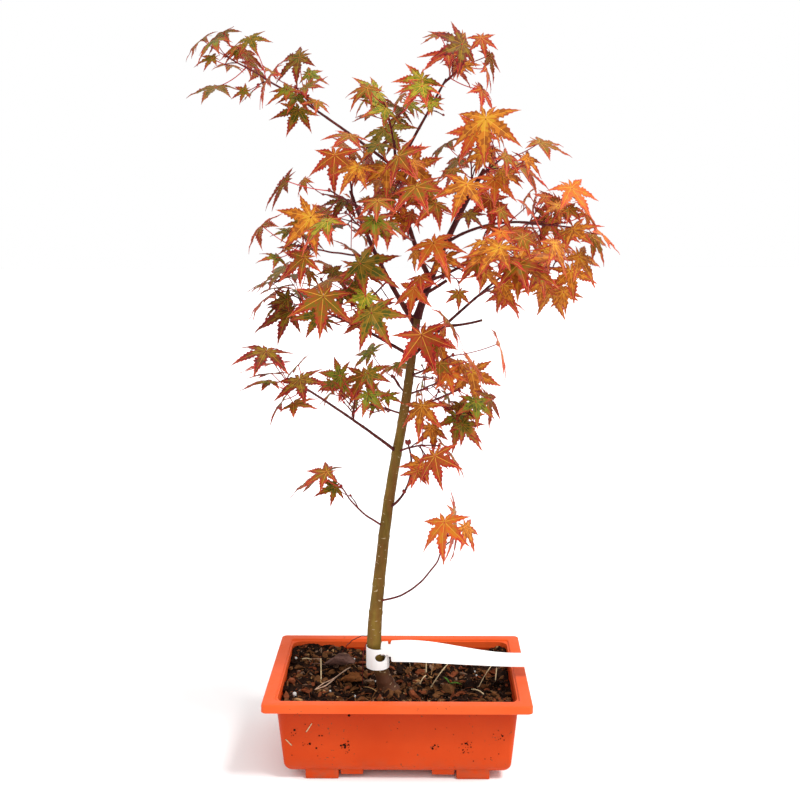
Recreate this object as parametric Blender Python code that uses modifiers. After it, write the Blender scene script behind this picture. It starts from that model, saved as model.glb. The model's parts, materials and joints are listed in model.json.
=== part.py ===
"""A young Japanese maple trained as a bonsai, in a shallow plastic pot, with a blank plant label.

The trunk is a smooth tube through a few stations. Boughs are tapering limbs that spring from it, and
each mass of foliage is one stem with opposite pairs of palmate leaves, joined into one solid. All sizes
are metres. The front of the plant faces -Y, +Z is up, and the pot stands on the plane Z = 0.
"""

import math
import random
from collections import namedtuple

import bmesh
import bpy
import numpy as np

# The pot's centre in plan: the origin lies under the middle of the whole plant.
POT_CENTRE = (0.0000, 0.0005)

# Pot
POT_WIDTH = 0.200
POT_DEPTH = 0.140
POT_HEIGHT = 0.066
RIM_BAND = 0.0063
RIM_TOP_WIDTH = 0.0094
RIM_CORNER = 0.0035
MOUTH_CORNER = 0.0030
PLASTIC = 0.0017
EDGE_SOFTNESS = 0.0007
BODY_INSET_TOP = 0.0088
BODY_INSET_BASE = 0.0142
BODY_BASE = 0.0050
BODY_CORNER = 0.0080
BASE_CORNER = 0.0025
BASE_ROUNDING = 0.0090
CORNER_STEPS = 3
FOOT_CENTRE = (0.0570, 0.0440)
FOOT_SIZE = (0.0250, 0.0190)
FOOT_ROOT = 0.0095
STEP_CENTRE = (0.0345, 0.0470)
STEP_SIZE = (0.0170, 0.0110)
STEP_BASE = 0.0030

# Soil
SOIL_GAP = 0.0003
SOIL_LEFT = 0.0580
SOIL_RIGHT = 0.0525
SOIL_LUMPS = 0.0014
SOIL_CELLS = (18, 12)
SOIL_SEED = 4
PAD_RADIUS = 0.024
PAD_TOP = 0.0560

# Label: a strip that goes round the foot of the trunk and then off to the right. Level and fall are the
# shares of the tail along which it stays level and along which it comes down.
LABEL_HEIGHT = 0.0165
LABEL_THICKNESS = 0.0005
LABEL_LOOP_RADIUS = 0.0086
LABEL_LOOP_CENTRE = (-0.0155, -0.0215, 0.0850)
LABEL_LOOP_STEPS = 20
LABEL_LOOP_START = -38
LABEL_LOOP_END = 262
LABEL_TAIL_START = 0.0913
LABEL_TAIL_END = (0.1155, -0.0100, 0.0778)
LABEL_TAIL_LEVEL = 0.10
LABEL_TAIL_FALL = 0.75
LABEL_TAIL_WAVE = 0.0022
LABEL_TAIL_STEPS = 12

# Trunk: height above the floor, then place in plan and radius
Station = namedtuple("Station", "height x y radius")
TRUNK = (
    Station(0.0563, -0.008, -0.021, 0.0100),
    Station(0.060, -0.009, -0.021, 0.0076),
    Station(0.067, -0.011, -0.021, 0.0060),
    Station(0.086, -0.017, -0.021, 0.0052),
    Station(0.106, -0.018, -0.020, 0.0055),
    Station(0.137, -0.015, -0.018, 0.0047),
    Station(0.203, -0.007, -0.013, 0.0041),
    Station(0.279, 0.006, -0.007, 0.0036),
    Station(0.344, 0.015, -0.003, 0.0029),
)
TRUNK_SPAN_STEPS = 3
TRUNK_SIDES = 12
LIMB_STEPS = 7
LIMB_SIDES = 6
CUTTER_SIDES = 12

# Limbs spring from a share of their parent's length. Headings (0 is +X, 90 is +Y) and pitches are in
# degrees; arch and sweep are how far the pitch and the heading swing from foot to tip.
Limb = namedtuple("Limb", "name parent share heading pitch length arch sweep foot_radius tip_radius")
LIMBS = (
    Limb("right_stem", "trunk", 1.0, -15, 65, 0.120, -15, -15, 0.0029, 0.0016),
    Limb("leader", "right_stem", 0.25, 135, 70, 0.110, 25, -20, 0.0020, 0.0010),
    Limb("leader_right", "leader", 0.80, -10, 60, 0.075, -5, -30, 0.0012, 0.0008),
    Limb("outreach", "leader", 0.80, 170, 35, 0.100, -5, -5, 0.0012, 0.0008),
    Limb("left_bough", "trunk", 0.98, 150, 60, 0.115, 10, -25, 0.0021, 0.0012),
    Limb("right_side", "right_stem", 0.25, -40, 25, 0.065, 15, 0, 0.0012, 0.0008),
    Limb("right_lower", "trunk", 0.90, 30, 35, 0.120, -5, -5, 0.0013, 0.0008),
    Limb("left_upper", "trunk", 0.90, 150, 20, 0.100, -10, 0, 0.0013, 0.0008),
    Limb("left_lower", "trunk", 0.65, -140, 35, 0.100, -5, 5, 0.0012, 0.0008),
    Limb("right_upper", "right_stem", 0.50, -5, 10, 0.075, -45, 5, 0.0011, 0.0008),
    Limb("crossing_stub", "left_bough", 0.15, -25, 30, 0.040, 5, 10, 0.0014, 0.0012),
    Limb("pruned_stub", "right_lower", 0.30, -20, 10, 0.030, 15, 5, 0.0011, 0.0009),
    Limb("bare_twig", "trunk", 0.50, -30, 70, 0.060, 80, 10, 0.0010, 0.0007),
)

# Each mass of foliage is one spray: a stem with up to a number of leaves, two at each node from its tip
# inwards. Blade is the length of its largest leaf, and hang is how far its leaves point down, in degrees.
Spray = namedtuple("Spray", "name parent share heading pitch length arch leaves blade hang tint")
SPRAYS = (
    Spray("top", "leader_right", 0.95, -20, 40, 0.020, 0, 5, 0.034, 45, "red"),
    Spray("below_top", "leader_right", 0.60, -65, 25, 0.025, 0, 3, 0.036, 40, "green"),
    Spray("crown_left", "leader", 0.95, 110, 60, 0.030, 0, 4, 0.036, 30, "green"),
    Spray("crown_front", "leader", 0.65, -95, 15, 0.025, 0, 3, 0.042, 50, "amber"),
    Spray("crown_inner", "leader", 0.75, -125, 15, 0.025, 0, 4, 0.042, 40, "olive"),
    Spray("outreach_tip", "outreach", 0.95, 175, 30, 0.060, 0, 6, 0.034, 20, "olive"),
    Spray("outreach_mid", "outreach", 0.75, -120, 30, 0.030, 0, 4, 0.038, 25, "olive"),
    Spray("left_high", "left_bough", 0.95, 180, 80, 0.025, 0, 5, 0.040, 40, "red"),
    Spray("left_side", "left_bough", 0.90, -115, 15, 0.040, 0, 6, 0.040, 35, "red"),
    Spray("green_inner", "left_bough", 0.75, -90, 15, 0.055, 0, 4, 0.036, 50, "green"),
    Spray("left_reach", "left_bough", 0.50, -160, 10, 0.065, 0, 4, 0.036, 15, "olive"),
    Spray("left_mid_tip", "left_upper", 0.95, 130, 15, 0.030, 0, 6, 0.042, 20, "olive"),
    Spray("left_mid_back", "left_upper", 0.65, 120, 35, 0.050, 0, 5, 0.038, 25, "olive"),
    Spray("left_mid_near", "left_upper", 0.20, -160, 50, 0.055, 0, 5, 0.038, 25, "olive"),
    Spray("left_low_tip", "left_lower", 0.95, -150, 25, 0.020, 0, 6, 0.036, 20, "olive"),
    Spray("left_low_inner", "left_lower", 0.50, 80, 70, 0.015, 0, 3, 0.030, 20, "green"),
    Spray("right_high", "right_stem", 0.95, -50, 30, 0.025, 0, 5, 0.040, 45, "amber"),
    Spray("right_high_back", "right_stem", 0.85, 90, 45, 0.030, 0, 4, 0.040, 40, "olive"),
    Spray("inner_right", "right_stem", 0.65, -95, 35, 0.025, 0, 4, 0.036, 45, "red"),
    Spray("inner_low", "right_stem", 0.40, -80, -40, 0.020, 0, 3, 0.032, 50, "amber"),
    Spray("right_inner", "right_upper", 0.40, -70, -10, 0.020, 0, 3, 0.036, 45, "red"),
    Spray("right_outer", "right_upper", 0.75, 55, -5, 0.035, 0, 5, 0.042, 45, "amber"),
    Spray("right_far", "right_upper", 0.95, 10, -5, 0.025, 0, 4, 0.038, 45, "amber"),
    Spray("right_front", "right_side", 0.95, -60, 0, 0.030, 0, 4, 0.042, 45, "amber"),
    Spray("right_low_tip", "right_lower", 0.95, 15, -5, 0.035, 0, 4, 0.038, 60, "amber"),
    Spray("right_low_inner", "right_lower", 0.60, -50, 25, 0.025, 0, 2, 0.032, 40, "amber"),
    Spray("right_low_back", "right_lower", 0.85, 60, 15, 0.045, 0, 3, 0.040, 40, "red"),
    Spray("centre_high", "leader", 0.30, -100, 5, 0.035, 0, 3, 0.036, 45, "red"),
    Spray("centre_green", "left_bough", 0.35, -120, -25, 0.040, 0, 3, 0.036, 55, "green"),
    Spray("centre_front", "trunk", 0.95, -85, 20, 0.035, 0, 4, 0.042, 60, "amber"),
    Spray("centre_right", "trunk", 0.85, -40, 25, 0.045, 10, 4, 0.038, 55, "amber"),
    Spray("centre_back", "trunk", 0.80, 50, 10, 0.055, 10, 3, 0.038, 55, "amber"),
    Spray("low_right", "trunk", 0.75, -5, 25, 0.045, 0, 4, 0.038, 60, "olive"),
    Spray("low_right_front", "trunk", 0.65, -45, 15, 0.045, -20, 4, 0.040, 55, "amber"),
    Spray("low_left", "trunk", 0.75, 170, 15, 0.030, 0, 3, 0.034, 30, "olive"),
    Spray("low_left_back", "trunk", 0.80, 110, 15, 0.035, 0, 2, 0.034, 25, "green"),
    Spray("low_single_left", "trunk", 0.45, -155, 45, 0.050, 30, 2, 0.040, 15, "olive"),
    Spray("low_single_right", "trunk", 0.25, -30, 45, 0.090, 60, 2, 0.050, 65, "amber"),
    Spray("back_high", "leader", 0.60, 90, 25, 0.055, 0, 5, 0.038, 30, "olive"),
    Spray("back_left", "left_bough", 0.70, 110, 15, 0.055, 0, 4, 0.040, 30, "olive"),
    Spray("back_right", "right_stem", 0.75, 65, 25, 0.070, 0, 4, 0.038, 35, "red"),
    Spray("back_low", "trunk", 0.85, 75, -10, 0.070, 0, 3, 0.038, 45, "olive"),
)

# Twigs and leaves
SEED = 1
TRIES = 16
TWIG_FOOT = 0.0013
TWIG_TIP = 0.0008
STALK_RADIUS = 0.00060
TWIG_SIDES = 3
STEM_STEPS = 4
NODE_SPACING = 0.017
STALK = 0.027
STALK_IN_BLADE = 0.0035
FIRST_NODE = 0.3
TURN_SWING = 50
SPREAD = (30, 80)
STALK_SHARE = (0.5, 1.3)
BLADE_SHARE = (0.7, 1.0)
HANG_SWING = 25
TWIST_SWING = 60
DROOP = (0.02, 0.28)
TILT_SWING = 0.4
LEAF_THICKNESS = 0.0008
UP = np.array((0.0, 0.0, 1.0))
TO_LIGHT = np.array((0.15, -0.95, 0.25))
LIFT = UP * 0.25
SKY = UP * 0.8 + TO_LIGHT * 0.6
FACE_OUTWARD = np.array((0.5, 0.5, 0.0))

# Lobes of a leaf: angle from the middle lobe in degrees, and length as a share of the middle one
LOBES = ((0, 1.00), (50, 0.90), (-50, 0.90), (98, 0.68), (-98, 0.68), (142, 0.34), (-142, 0.34))
LARGE_LOBES = LOBES[:5]
SHOULDER_ANGLE = 14
SHOULDER_REACH = 0.50
NOTCH_REACH = 0.28
HEEL_ANGLE = 50
HEEL_REACH = 0.17

Leaf = namedtuple("Leaf", "node hub middle side face length droop")

# Clearances
GAP = 0.0003
LEAF_CLEARANCE = 0.0058
SIBLING_CLEARANCE = 0.0050
FOOT_CLEARANCE = 0.006
STALK_GUARDS = (0.2, 0.4, 0.6, 0.8)
BLADE_GUARDS = 6
LIMB_SAMPLES = 60
TRUNK_GUARD = 0.005
STEM_SAMPLES = 12
WELD = 0.000001

COLOURS = {
    "pot_plastic": (0.80, 0.13, 0.035, 0.45),
    "soil": (0.060, 0.038, 0.026, 0.95),
    "label_plastic": (0.85, 0.85, 0.83, 0.40),
    "trunk_bark": (0.19, 0.155, 0.055, 0.75),
    "bough_bark": (0.085, 0.022, 0.020, 0.60),
    "leaf_amber": (0.62, 0.20, 0.035, 0.60),
    "leaf_red": (0.42, 0.060, 0.035, 0.60),
    "leaf_olive": (0.24, 0.15, 0.030, 0.60),
    "leaf_green": (0.27, 0.30, 0.045, 0.60),
}


def clear_scene():
    for obj in list(bpy.data.objects):
        bpy.data.objects.remove(obj, do_unlink=True)


def make_material(name):
    red, green, blue, roughness = COLOURS[name]
    material = bpy.data.materials.new(name)
    material.use_nodes = True
    shader = material.node_tree.nodes["Principled BSDF"]
    shader.inputs["Base Color"].default_value = (red, green, blue, 1.0)
    shader.inputs["Roughness"].default_value = roughness
    shader.inputs["Metallic"].default_value = 0.0
    return material


def new_object(name, bm):
    """An object made from a bmesh, which is freed."""
    mesh = bpy.data.meshes.new(name)
    bmesh.ops.recalc_face_normals(bm, faces=bm.faces)
    bm.to_mesh(mesh)
    bm.free()
    obj = bpy.data.objects.new(name, mesh)
    bpy.context.scene.collection.objects.link(obj)
    return obj


def apply_modifiers(obj):
    """Replaces an object's mesh with its evaluated one."""
    evaluated = obj.evaluated_get(bpy.context.evaluated_depsgraph_get())
    mesh = bpy.data.meshes.new_from_object(evaluated)
    obj.modifiers.clear()
    obj.data = mesh


def is_closed(obj):
    """True if an object's evaluated mesh has just two faces at every edge."""
    evaluated = obj.evaluated_get(bpy.context.evaluated_depsgraph_get())
    bm = bmesh.new()
    bm.from_mesh(evaluated.data)
    bmesh.ops.remove_doubles(bm, verts=bm.verts, dist=WELD)
    closed = len(bm.faces) > 0 and all(edge.is_manifold for edge in bm.edges)
    bm.free()
    return closed


def combine(target, others, operation):
    """One Boolean of a collection of objects on the target, which is applied; the others are removed."""
    operands = bpy.data.collections.new("operands")
    bpy.context.scene.collection.children.link(operands)
    for other in others:
        operands.objects.link(other)
    modifier = target.modifiers.new(operation.lower(), "BOOLEAN")
    modifier.operand_type = "COLLECTION"
    modifier.collection = operands
    modifier.operation = operation
    if not is_closed(target):
        modifier.solver = "MANIFOLD"
    apply_modifiers(target)
    for other in others:
        bpy.data.objects.remove(other, do_unlink=True)
    bpy.data.collections.remove(operands)


def keep_largest_piece(obj):
    """Drops loose scraps that a Boolean leaves beside the main body."""
    bm = bmesh.new()
    bm.from_mesh(obj.data)
    bmesh.ops.remove_doubles(bm, verts=bm.verts, dist=WELD)
    bmesh.ops.dissolve_degenerate(bm, edges=bm.edges, dist=WELD)
    unseen = set(bm.faces)
    pieces = []
    while unseen:
        piece, front = [], [unseen.pop()]
        while front:
            face = front.pop()
            piece.append(face)
            for neighbour in {other for edge in face.edges for other in edge.link_faces} & unseen:
                unseen.remove(neighbour)
                front.append(neighbour)
        pieces.append(piece)
    largest = max(pieces, key=len)
    scraps = [face for piece in pieces if piece is not largest for face in piece]
    bmesh.ops.delete(bm, geom=scraps, context="FACES")
    bm.to_mesh(obj.data)
    bm.free()


# Shapes


def rounded_ring(inset, height, corner):
    """Points of a rounded rectangle, inset from the rim's outer edge."""
    points = []
    for quarter, (side_x, side_y) in enumerate(((1, 1), (-1, 1), (-1, -1), (1, -1))):
        centre_x = side_x * (POT_WIDTH / 2 - inset - corner)
        centre_y = side_y * (POT_DEPTH / 2 - inset - corner)
        for step in range(CORNER_STEPS + 1):
            angle = math.radians(90 * (quarter + step / CORNER_STEPS))
            x = centre_x + corner * math.cos(angle)
            y = centre_y + corner * math.sin(angle)
            points.append((x, y, height))
    return points


def loft(name, rings):
    """A closed solid through rings of equal count, capped at both ends."""
    bm = bmesh.new()
    loops = [[bm.verts.new(point) for point in ring] for ring in rings]
    count = len(loops[0])
    for lower, upper in zip(loops, loops[1:]):
        for k in range(count):
            bm.faces.new((lower[k], lower[(k + 1) % count], upper[(k + 1) % count], upper[k]))
    bm.faces.new(loops[0])
    bm.faces.new(loops[-1])
    return new_object(name, bm)


def block(name, centre, size):
    """A box from its centre and its full size."""
    bm = bmesh.new()
    bmesh.ops.create_cube(bm, size=1.0)
    bmesh.ops.scale(bm, vec=size, verts=bm.verts)
    bmesh.ops.translate(bm, vec=centre, verts=bm.verts)
    return new_object(name, bm)


def tube(name, points, radii, sides):
    """A closed tube along points, with a radius at each: a POLY curve swept with a regular polygon."""
    outline = bpy.data.curves.new(name + "_outline", "CURVE")
    outline.dimensions = "2D"
    ring = outline.splines.new("POLY")
    ring.points.add(sides - 1)
    ring.use_cyclic_u = True
    for k in range(sides):
        angle = 2 * math.pi * k / sides
        ring.points[k].co = (math.cos(angle), math.sin(angle), 0, 1)
    profile = bpy.data.objects.new(name + "_outline", outline)
    bpy.context.scene.collection.objects.link(profile)

    curve = bpy.data.curves.new(name, "CURVE")
    curve.dimensions = "3D"
    curve.bevel_mode = "OBJECT"
    curve.bevel_object = profile
    curve.use_fill_caps = True
    spline = curve.splines.new("POLY")
    spline.points.add(len(points) - 1)
    for spot, point, radius in zip(spline.points, points, radii):
        spot.co = (*point, 1)
        spot.radius = radius
    swept = bpy.data.objects.new(name, curve)
    bpy.context.scene.collection.objects.link(swept)
    evaluated = swept.evaluated_get(bpy.context.evaluated_depsgraph_get())
    mesh = bpy.data.meshes.new_from_object(evaluated)
    for helper in (swept, profile):
        bpy.data.objects.remove(helper, do_unlink=True)

    bm = bmesh.new()
    bm.from_mesh(mesh)
    bmesh.ops.remove_doubles(bm, verts=bm.verts, dist=WELD)
    return new_object(name, bm)


# Growth


def direction(heading, pitch):
    """Unit vector at a heading (0 is +X, 90 is +Y) and a pitch above level, in degrees."""
    around, above = math.radians(heading), math.radians(pitch)
    level = math.cos(above)
    return np.array((level * math.cos(around), level * math.sin(around), math.sin(above)))


def unit(vector):
    return vector / math.sqrt(vector @ vector)


def swept_path(foot, heading, pitch, length, arch, sweep, steps):
    """Points of a limb whose pitch swings by `arch` and whose heading swings by `sweep` along it."""
    points = [np.array(foot, float)]
    for step in range(steps):
        share = (step + 0.5) / steps - 0.5
        run = direction(heading + sweep * share, pitch + arch * share)
        points.append(points[-1] + run * length / steps)
    return points


def along_path(points, share):
    """The point at a share of a path's length, and the path's direction there."""
    lengths = [math.dist(a, b) for a, b in zip(points, points[1:])]
    left = share * sum(lengths)
    span = 0
    while span < len(lengths) - 1 and left > lengths[span]:
        left -= lengths[span]
        span += 1
    run = (points[span + 1] - points[span]) / lengths[span]
    return points[span] + run * left, run


def trunk_line():
    """Points and radii of the trunk, smoothed through its stations."""
    values = [np.array((s.x, s.y, s.height, s.radius)) for s in TRUNK]
    ends = [values[0]] + values + [values[-1]]
    line = []
    for before, start, stop, after in zip(ends, ends[1:], ends[2:], ends[3:]):
        rise = stop - before
        bend = 2 * before - 5 * start + 4 * stop - after
        twist = 3 * start - before - 3 * stop + after
        for step in range(TRUNK_SPAN_STEPS):
            t = step / TRUNK_SPAN_STEPS
            line.append(start + 0.5 * (rise * t + bend * t**2 + twist * t**3))
    line.append(values[-1])
    return [value[:3] for value in line], [value[3] for value in line]


def grow_leaf(spray, stem, place, rng):
    """A pose for the leaf at a place: 0 and 1 face each other at the tip, 2 and 3 a node further in."""
    pair, side = divmod(place, 2)
    node, along = along_path(stem, max(1.0 - pair * NODE_SPACING / spray.length, FIRST_NODE))
    across = unit(np.cross(along, UP) + WELD)
    beside = np.cross(across, along)
    turn = math.radians(90 * pair + 180 * side + rng.uniform(-TURN_SWING, TURN_SWING))
    spread = math.radians(rng.uniform(*SPREAD))
    stalk = STALK * rng.uniform(*STALK_SHARE)
    blade = spray.blade * rng.uniform(*BLADE_SHARE)
    hang = spray.hang + rng.uniform(-HANG_SWING, HANG_SWING)
    twist = rng.uniform(-TWIST_SWING, TWIST_SWING)
    droop = rng.uniform(*DROOP)
    tilt = np.array([rng.uniform(-TILT_SWING, TILT_SWING) for _ in range(3)])
    aside = across * math.cos(turn) + beside * math.sin(turn)
    outward = unit(along * math.cos(spread) + aside * math.sin(spread) + LIFT)
    middle = direction(math.degrees(math.atan2(outward[1], outward[0])) + twist, -hang)
    sky = SKY + outward * FACE_OUTWARD + tilt
    face = unit(sky - middle * (sky @ middle))
    return Leaf(node, node + outward * stalk, middle, np.cross(face, middle), face, blade, droop)


def blade_point(leaf, angle, reach):
    """A point of the blade at an angle from its middle lobe, in degrees, and a reach in blade lengths."""
    around = math.radians(angle)
    flat = leaf.middle * math.cos(around) + leaf.side * math.sin(around)
    return leaf.hub + (flat * reach - leaf.face * leaf.droop * reach * reach) * leaf.length


def leaf_guard(leaf):
    """Points spread over a leaf's stalk and its blade, to keep other twigs and leaves away from it."""
    stalk = [leaf.node + (leaf.hub - leaf.node) * share for share in STALK_GUARDS]
    blade = [leaf.hub]
    for angle, length in LOBES:
        reaches = [length * (step + 1) / BLADE_GUARDS for step in range(BLADE_GUARDS)]
        blade += [blade_point(leaf, angle, reach) for reach in reaches]
    edge = [blade_point(leaf, angle + side, length * SHOULDER_REACH)
            for angle, length in LARGE_LOBES for side in (-SHOULDER_ANGLE, SHOULDER_ANGLE)]
    return np.array(stalk), np.array(blade + edge)


class Space:
    """What already takes up room: points with a radius, and the name of what they belong to."""

    def __init__(self):
        self.points = np.empty((0, 4))
        self.owners = np.empty(0, object)

    def take(self, owner, points, radius):
        points = np.array(points)
        self.points = np.vstack((self.points, np.column_stack((points, np.full(len(points), radius)))))
        self.owners = np.concatenate((self.owners, np.full(len(points), owner, object)))

    def is_free(self, owner, foot, points):
        """True if points stay clear of everything but their owner and what lies round its foot."""
        others = self.points[(self.owners != owner)
                             & (np.linalg.norm(self.points[:, :3] - foot, axis=1) > FOOT_CLEARANCE)]
        apart = np.linalg.norm(points[:, None] - others[None, :, :3], axis=2) - others[:, 3]
        return apart.min() > LEAF_CLEARANCE


def rim_to_base(solid_inset):
    """Rings of the body's rounded base, from its flat underside up to the side wall."""
    rounding = BASE_ROUNDING - solid_inset
    rings = []
    for step in range(CORNER_STEPS + 1):
        angle = math.pi / 2 * step / CORNER_STEPS
        inset = BODY_INSET_BASE + BASE_ROUNDING - rounding * math.sin(angle)
        height = BODY_BASE + BASE_ROUNDING - rounding * math.cos(angle)
        rings.append(rounded_ring(inset, height, max(BODY_CORNER - inset / 2, BASE_CORNER)))
    return rings


def cavity(name, gap, top):
    """The space inside the pot, kept a gap away from its walls, up to a height."""
    flange = POT_HEIGHT - PLASTIC
    wall_inset = BODY_INSET_TOP + PLASTIC + gap
    rings = rim_to_base(PLASTIC + gap)
    if top < flange:
        slope = (BODY_INSET_BASE - BODY_INSET_TOP) / (flange - BODY_BASE - BASE_ROUNDING)
        rings.append(rounded_ring(wall_inset + slope * (flange - top), top, BODY_CORNER))
    else:
        rings.append(rounded_ring(wall_inset, flange, BODY_CORNER))
        rings.append(rounded_ring(RIM_TOP_WIDTH, POT_HEIGHT - EDGE_SOFTNESS, MOUTH_CORNER))
        rings.append(rounded_ring(RIM_TOP_WIDTH - 2 * EDGE_SOFTNESS, top, MOUTH_CORNER))
    return loft(name, rings)


def make_pot():
    """A thin tray with a turned-down rim, on four feet that each have a low step beside them."""
    flange = POT_HEIGHT - PLASTIC
    skirt = POT_HEIGHT - RIM_BAND
    rings = rim_to_base(0.0)
    rings.append(rounded_ring(BODY_INSET_TOP, flange, BODY_CORNER))
    rings.append(rounded_ring(PLASTIC, flange, RIM_CORNER - PLASTIC))
    rings.append(rounded_ring(PLASTIC, skirt, RIM_CORNER - PLASTIC))
    rings.append(rounded_ring(0.0, skirt, RIM_CORNER))
    rings.append(rounded_ring(0.0, POT_HEIGHT - EDGE_SOFTNESS, RIM_CORNER))
    rings.append(rounded_ring(EDGE_SOFTNESS, POT_HEIGHT, RIM_CORNER))
    pot = loft("pot", rings)
    feet = []
    for side_x in (-1, 1):
        for side_y in (-1, 1):
            for centre, size, base in ((FOOT_CENTRE, FOOT_SIZE, 0.0), (STEP_CENTRE, STEP_SIZE, STEP_BASE)):
                middle = (side_x * centre[0], side_y * centre[1], (base + FOOT_ROOT) / 2)
                feet.append(block("foot", middle, (*size, FOOT_ROOT - base)))
    combine(pot, feet, "UNION")
    combine(pot, [cavity("hollow", 0.0, POT_HEIGHT + EDGE_SOFTNESS)], "DIFFERENCE")
    return pot


def soil_height(x, y, rng):
    """Soil falls from left to right, with lumps, and is level where the trunk stands."""
    share = 0.5 + x / POT_WIDTH
    height = SOIL_LEFT + (SOIL_RIGHT - SOIL_LEFT) * share + rng.uniform(-SOIL_LUMPS, SOIL_LUMPS)
    away = math.hypot(x - TRUNK[0].x, y - TRUNK[0].y) / PAD_RADIUS
    return PAD_TOP if away < 1 else PAD_TOP + (height - PAD_TOP) * min(away - 1, 1)


def make_soil():
    """The soil that fills the pot: a lumpy slab cut to the pot's inside."""
    rng = random.Random(SOIL_SEED)
    bm = bmesh.new()
    bmesh.ops.create_grid(bm, x_segments=SOIL_CELLS[0], y_segments=SOIL_CELLS[1], size=0.5)
    bmesh.ops.scale(bm, vec=(POT_WIDTH, POT_DEPTH, 1), verts=bm.verts)
    for vert in bm.verts:
        vert.co.z = soil_height(vert.co.x, vert.co.y, rng)
    bottom = bmesh.ops.extrude_face_region(bm, geom=bm.faces[:])["geom"]
    for item in bottom:
        if isinstance(item, bmesh.types.BMVert):
            item.co.z = 0.0
    soil = new_object("soil", bm)
    combine(soil, [cavity("mould", SOIL_GAP, POT_HEIGHT - PLASTIC - SOIL_GAP)], "INTERSECT")
    return soil


def label_line():
    """Middle line of the label: round the trunk by the right, back and left, then off to the right.

    The tail leaves the loop higher than its middle and falls in a soft S towards its end.
    """
    centre_x, centre_y, centre_z = LABEL_LOOP_CENTRE
    line = []
    for step in range(LABEL_LOOP_STEPS + 1):
        share = step / LABEL_LOOP_STEPS
        angle = math.radians(LABEL_LOOP_START + (LABEL_LOOP_END - LABEL_LOOP_START) * share)
        line.append((centre_x + LABEL_LOOP_RADIUS * math.cos(angle),
                     centre_y + LABEL_LOOP_RADIUS * math.sin(angle), centre_z))
    start = line[-1]
    for step in range(1, LABEL_TAIL_STEPS + 1):
        share = step / LABEL_TAIL_STEPS
        x, y, _ = (a + (b - a) * share for a, b in zip(start, LABEL_TAIL_END))
        fall = min(max((share - LABEL_TAIL_LEVEL) / LABEL_TAIL_FALL, 0), 1)
        z = LABEL_TAIL_START + (LABEL_TAIL_END[2] - LABEL_TAIL_START) * fall * fall * (3 - 2 * fall)
        line.append((x, y - LABEL_TAIL_WAVE * math.sin(2 * math.pi * share), z))
    return line


def make_label():
    """A blank strip of white plastic, standing on edge."""
    bm = bmesh.new()
    half = LABEL_HEIGHT / 2
    rows = [[bm.verts.new((x, y, z + up)) for up in (-half, half)] for x, y, z in label_line()]
    for (low, high), (next_low, next_high) in zip(rows, rows[1:]):
        bm.faces.new((low, next_low, next_high, high))
    label = new_object("plant_label", bm)
    shell = label.modifiers.new("thickness", "SOLIDIFY")
    shell.thickness = LABEL_THICKNESS
    shell.offset = 0
    return label


def limb_radii(limb, count):
    return [limb.foot_radius + (limb.tip_radius - limb.foot_radius) * k / (count - 1) for k in range(count)]


def samples(points, count):
    """Evenly spaced points along a path."""
    return np.array([along_path(points, share)[0] for share in np.linspace(0, 1, count)])


def clearance(points, radii):
    """A limb's own shape, wider and longer by the gap that its neighbours keep."""
    _, first_run = along_path(points, 0.0)
    _, last_run = along_path(points, 1.0)
    line = [points[0] - first_run * GAP] + points + [points[-1] + last_run * GAP]
    wider = [radius + GAP for radius in radii[:1] + radii + radii[-1:]]
    return tube("clearance", line, wider, CUTTER_SIDES)


def carve(obj, path, radius, grown):
    """Cuts an object clear of the limbs that its path starts in or passes close by."""
    spots = samples(path, LIMB_SAMPLES)
    for points, radii in grown.values():
        reach = max(radii) + radius + 4 * GAP
        apart = np.linalg.norm(spots[:, None] - samples(points, LIMB_SAMPLES)[None], axis=2)
        if apart.min() < reach:
            combine(obj, [clearance(points, radii)], "DIFFERENCE")
    keep_largest_piece(obj)


def make_trunk(grown, space):
    """The trunk, from a flat cut just above the soil up to its fork."""
    points, radii = trunk_line()
    grown["trunk"] = (points, radii)
    space.take("trunk", samples(points, LIMB_SAMPLES), TRUNK_GUARD)
    trunk = tube("trunk", [points[0] - UP * PAD_RADIUS] + points, radii[:1] + radii, TRUNK_SIDES)
    x, y, cut = points[0]
    below = block("below", (x, y, cut - PAD_RADIUS), (4 * PAD_RADIUS, 4 * PAD_RADIUS, 2 * PAD_RADIUS))
    combine(trunk, [below], "DIFFERENCE")
    return trunk


def make_limb(limb, grown, space):
    """One bough: a tapering tube that starts in its parent and is cut 0.3 mm clear of it."""
    parent, _ = grown[limb.parent]
    foot, _ = along_path(parent, limb.share)
    path = swept_path(foot, limb.heading, limb.pitch, limb.length, limb.arch, limb.sweep, LIMB_STEPS)
    radii = limb_radii(limb, len(path))
    obj = tube(limb.name, path, radii, LIMB_SIDES)
    carve(obj, path, limb.foot_radius, grown)
    grown[limb.name] = (path, radii)
    space.take(limb.name, samples(path, LIMB_SAMPLES), limb.foot_radius)
    return obj


def blade_outline():
    """Angle and reach of each point round the five large lobes, from one side of the stalk to the other."""
    lobes = sorted(LARGE_LOBES)
    outline = [(lobes[0][0] - HEEL_ANGLE, HEEL_REACH)]
    for (angle, length), (next_angle, next_length) in zip(lobes, lobes[1:] + lobes[-1:]):
        outline.append((angle - SHOULDER_ANGLE, length * SHOULDER_REACH))
        outline.append((angle, length))
        outline.append((angle + SHOULDER_ANGLE, length * SHOULDER_REACH))
        outline.append(((angle + next_angle) / 2, NOTCH_REACH * min(length, next_length)))
    outline[-1] = (lobes[-1][0] + HEEL_ANGLE, HEEL_REACH)
    return outline


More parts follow.
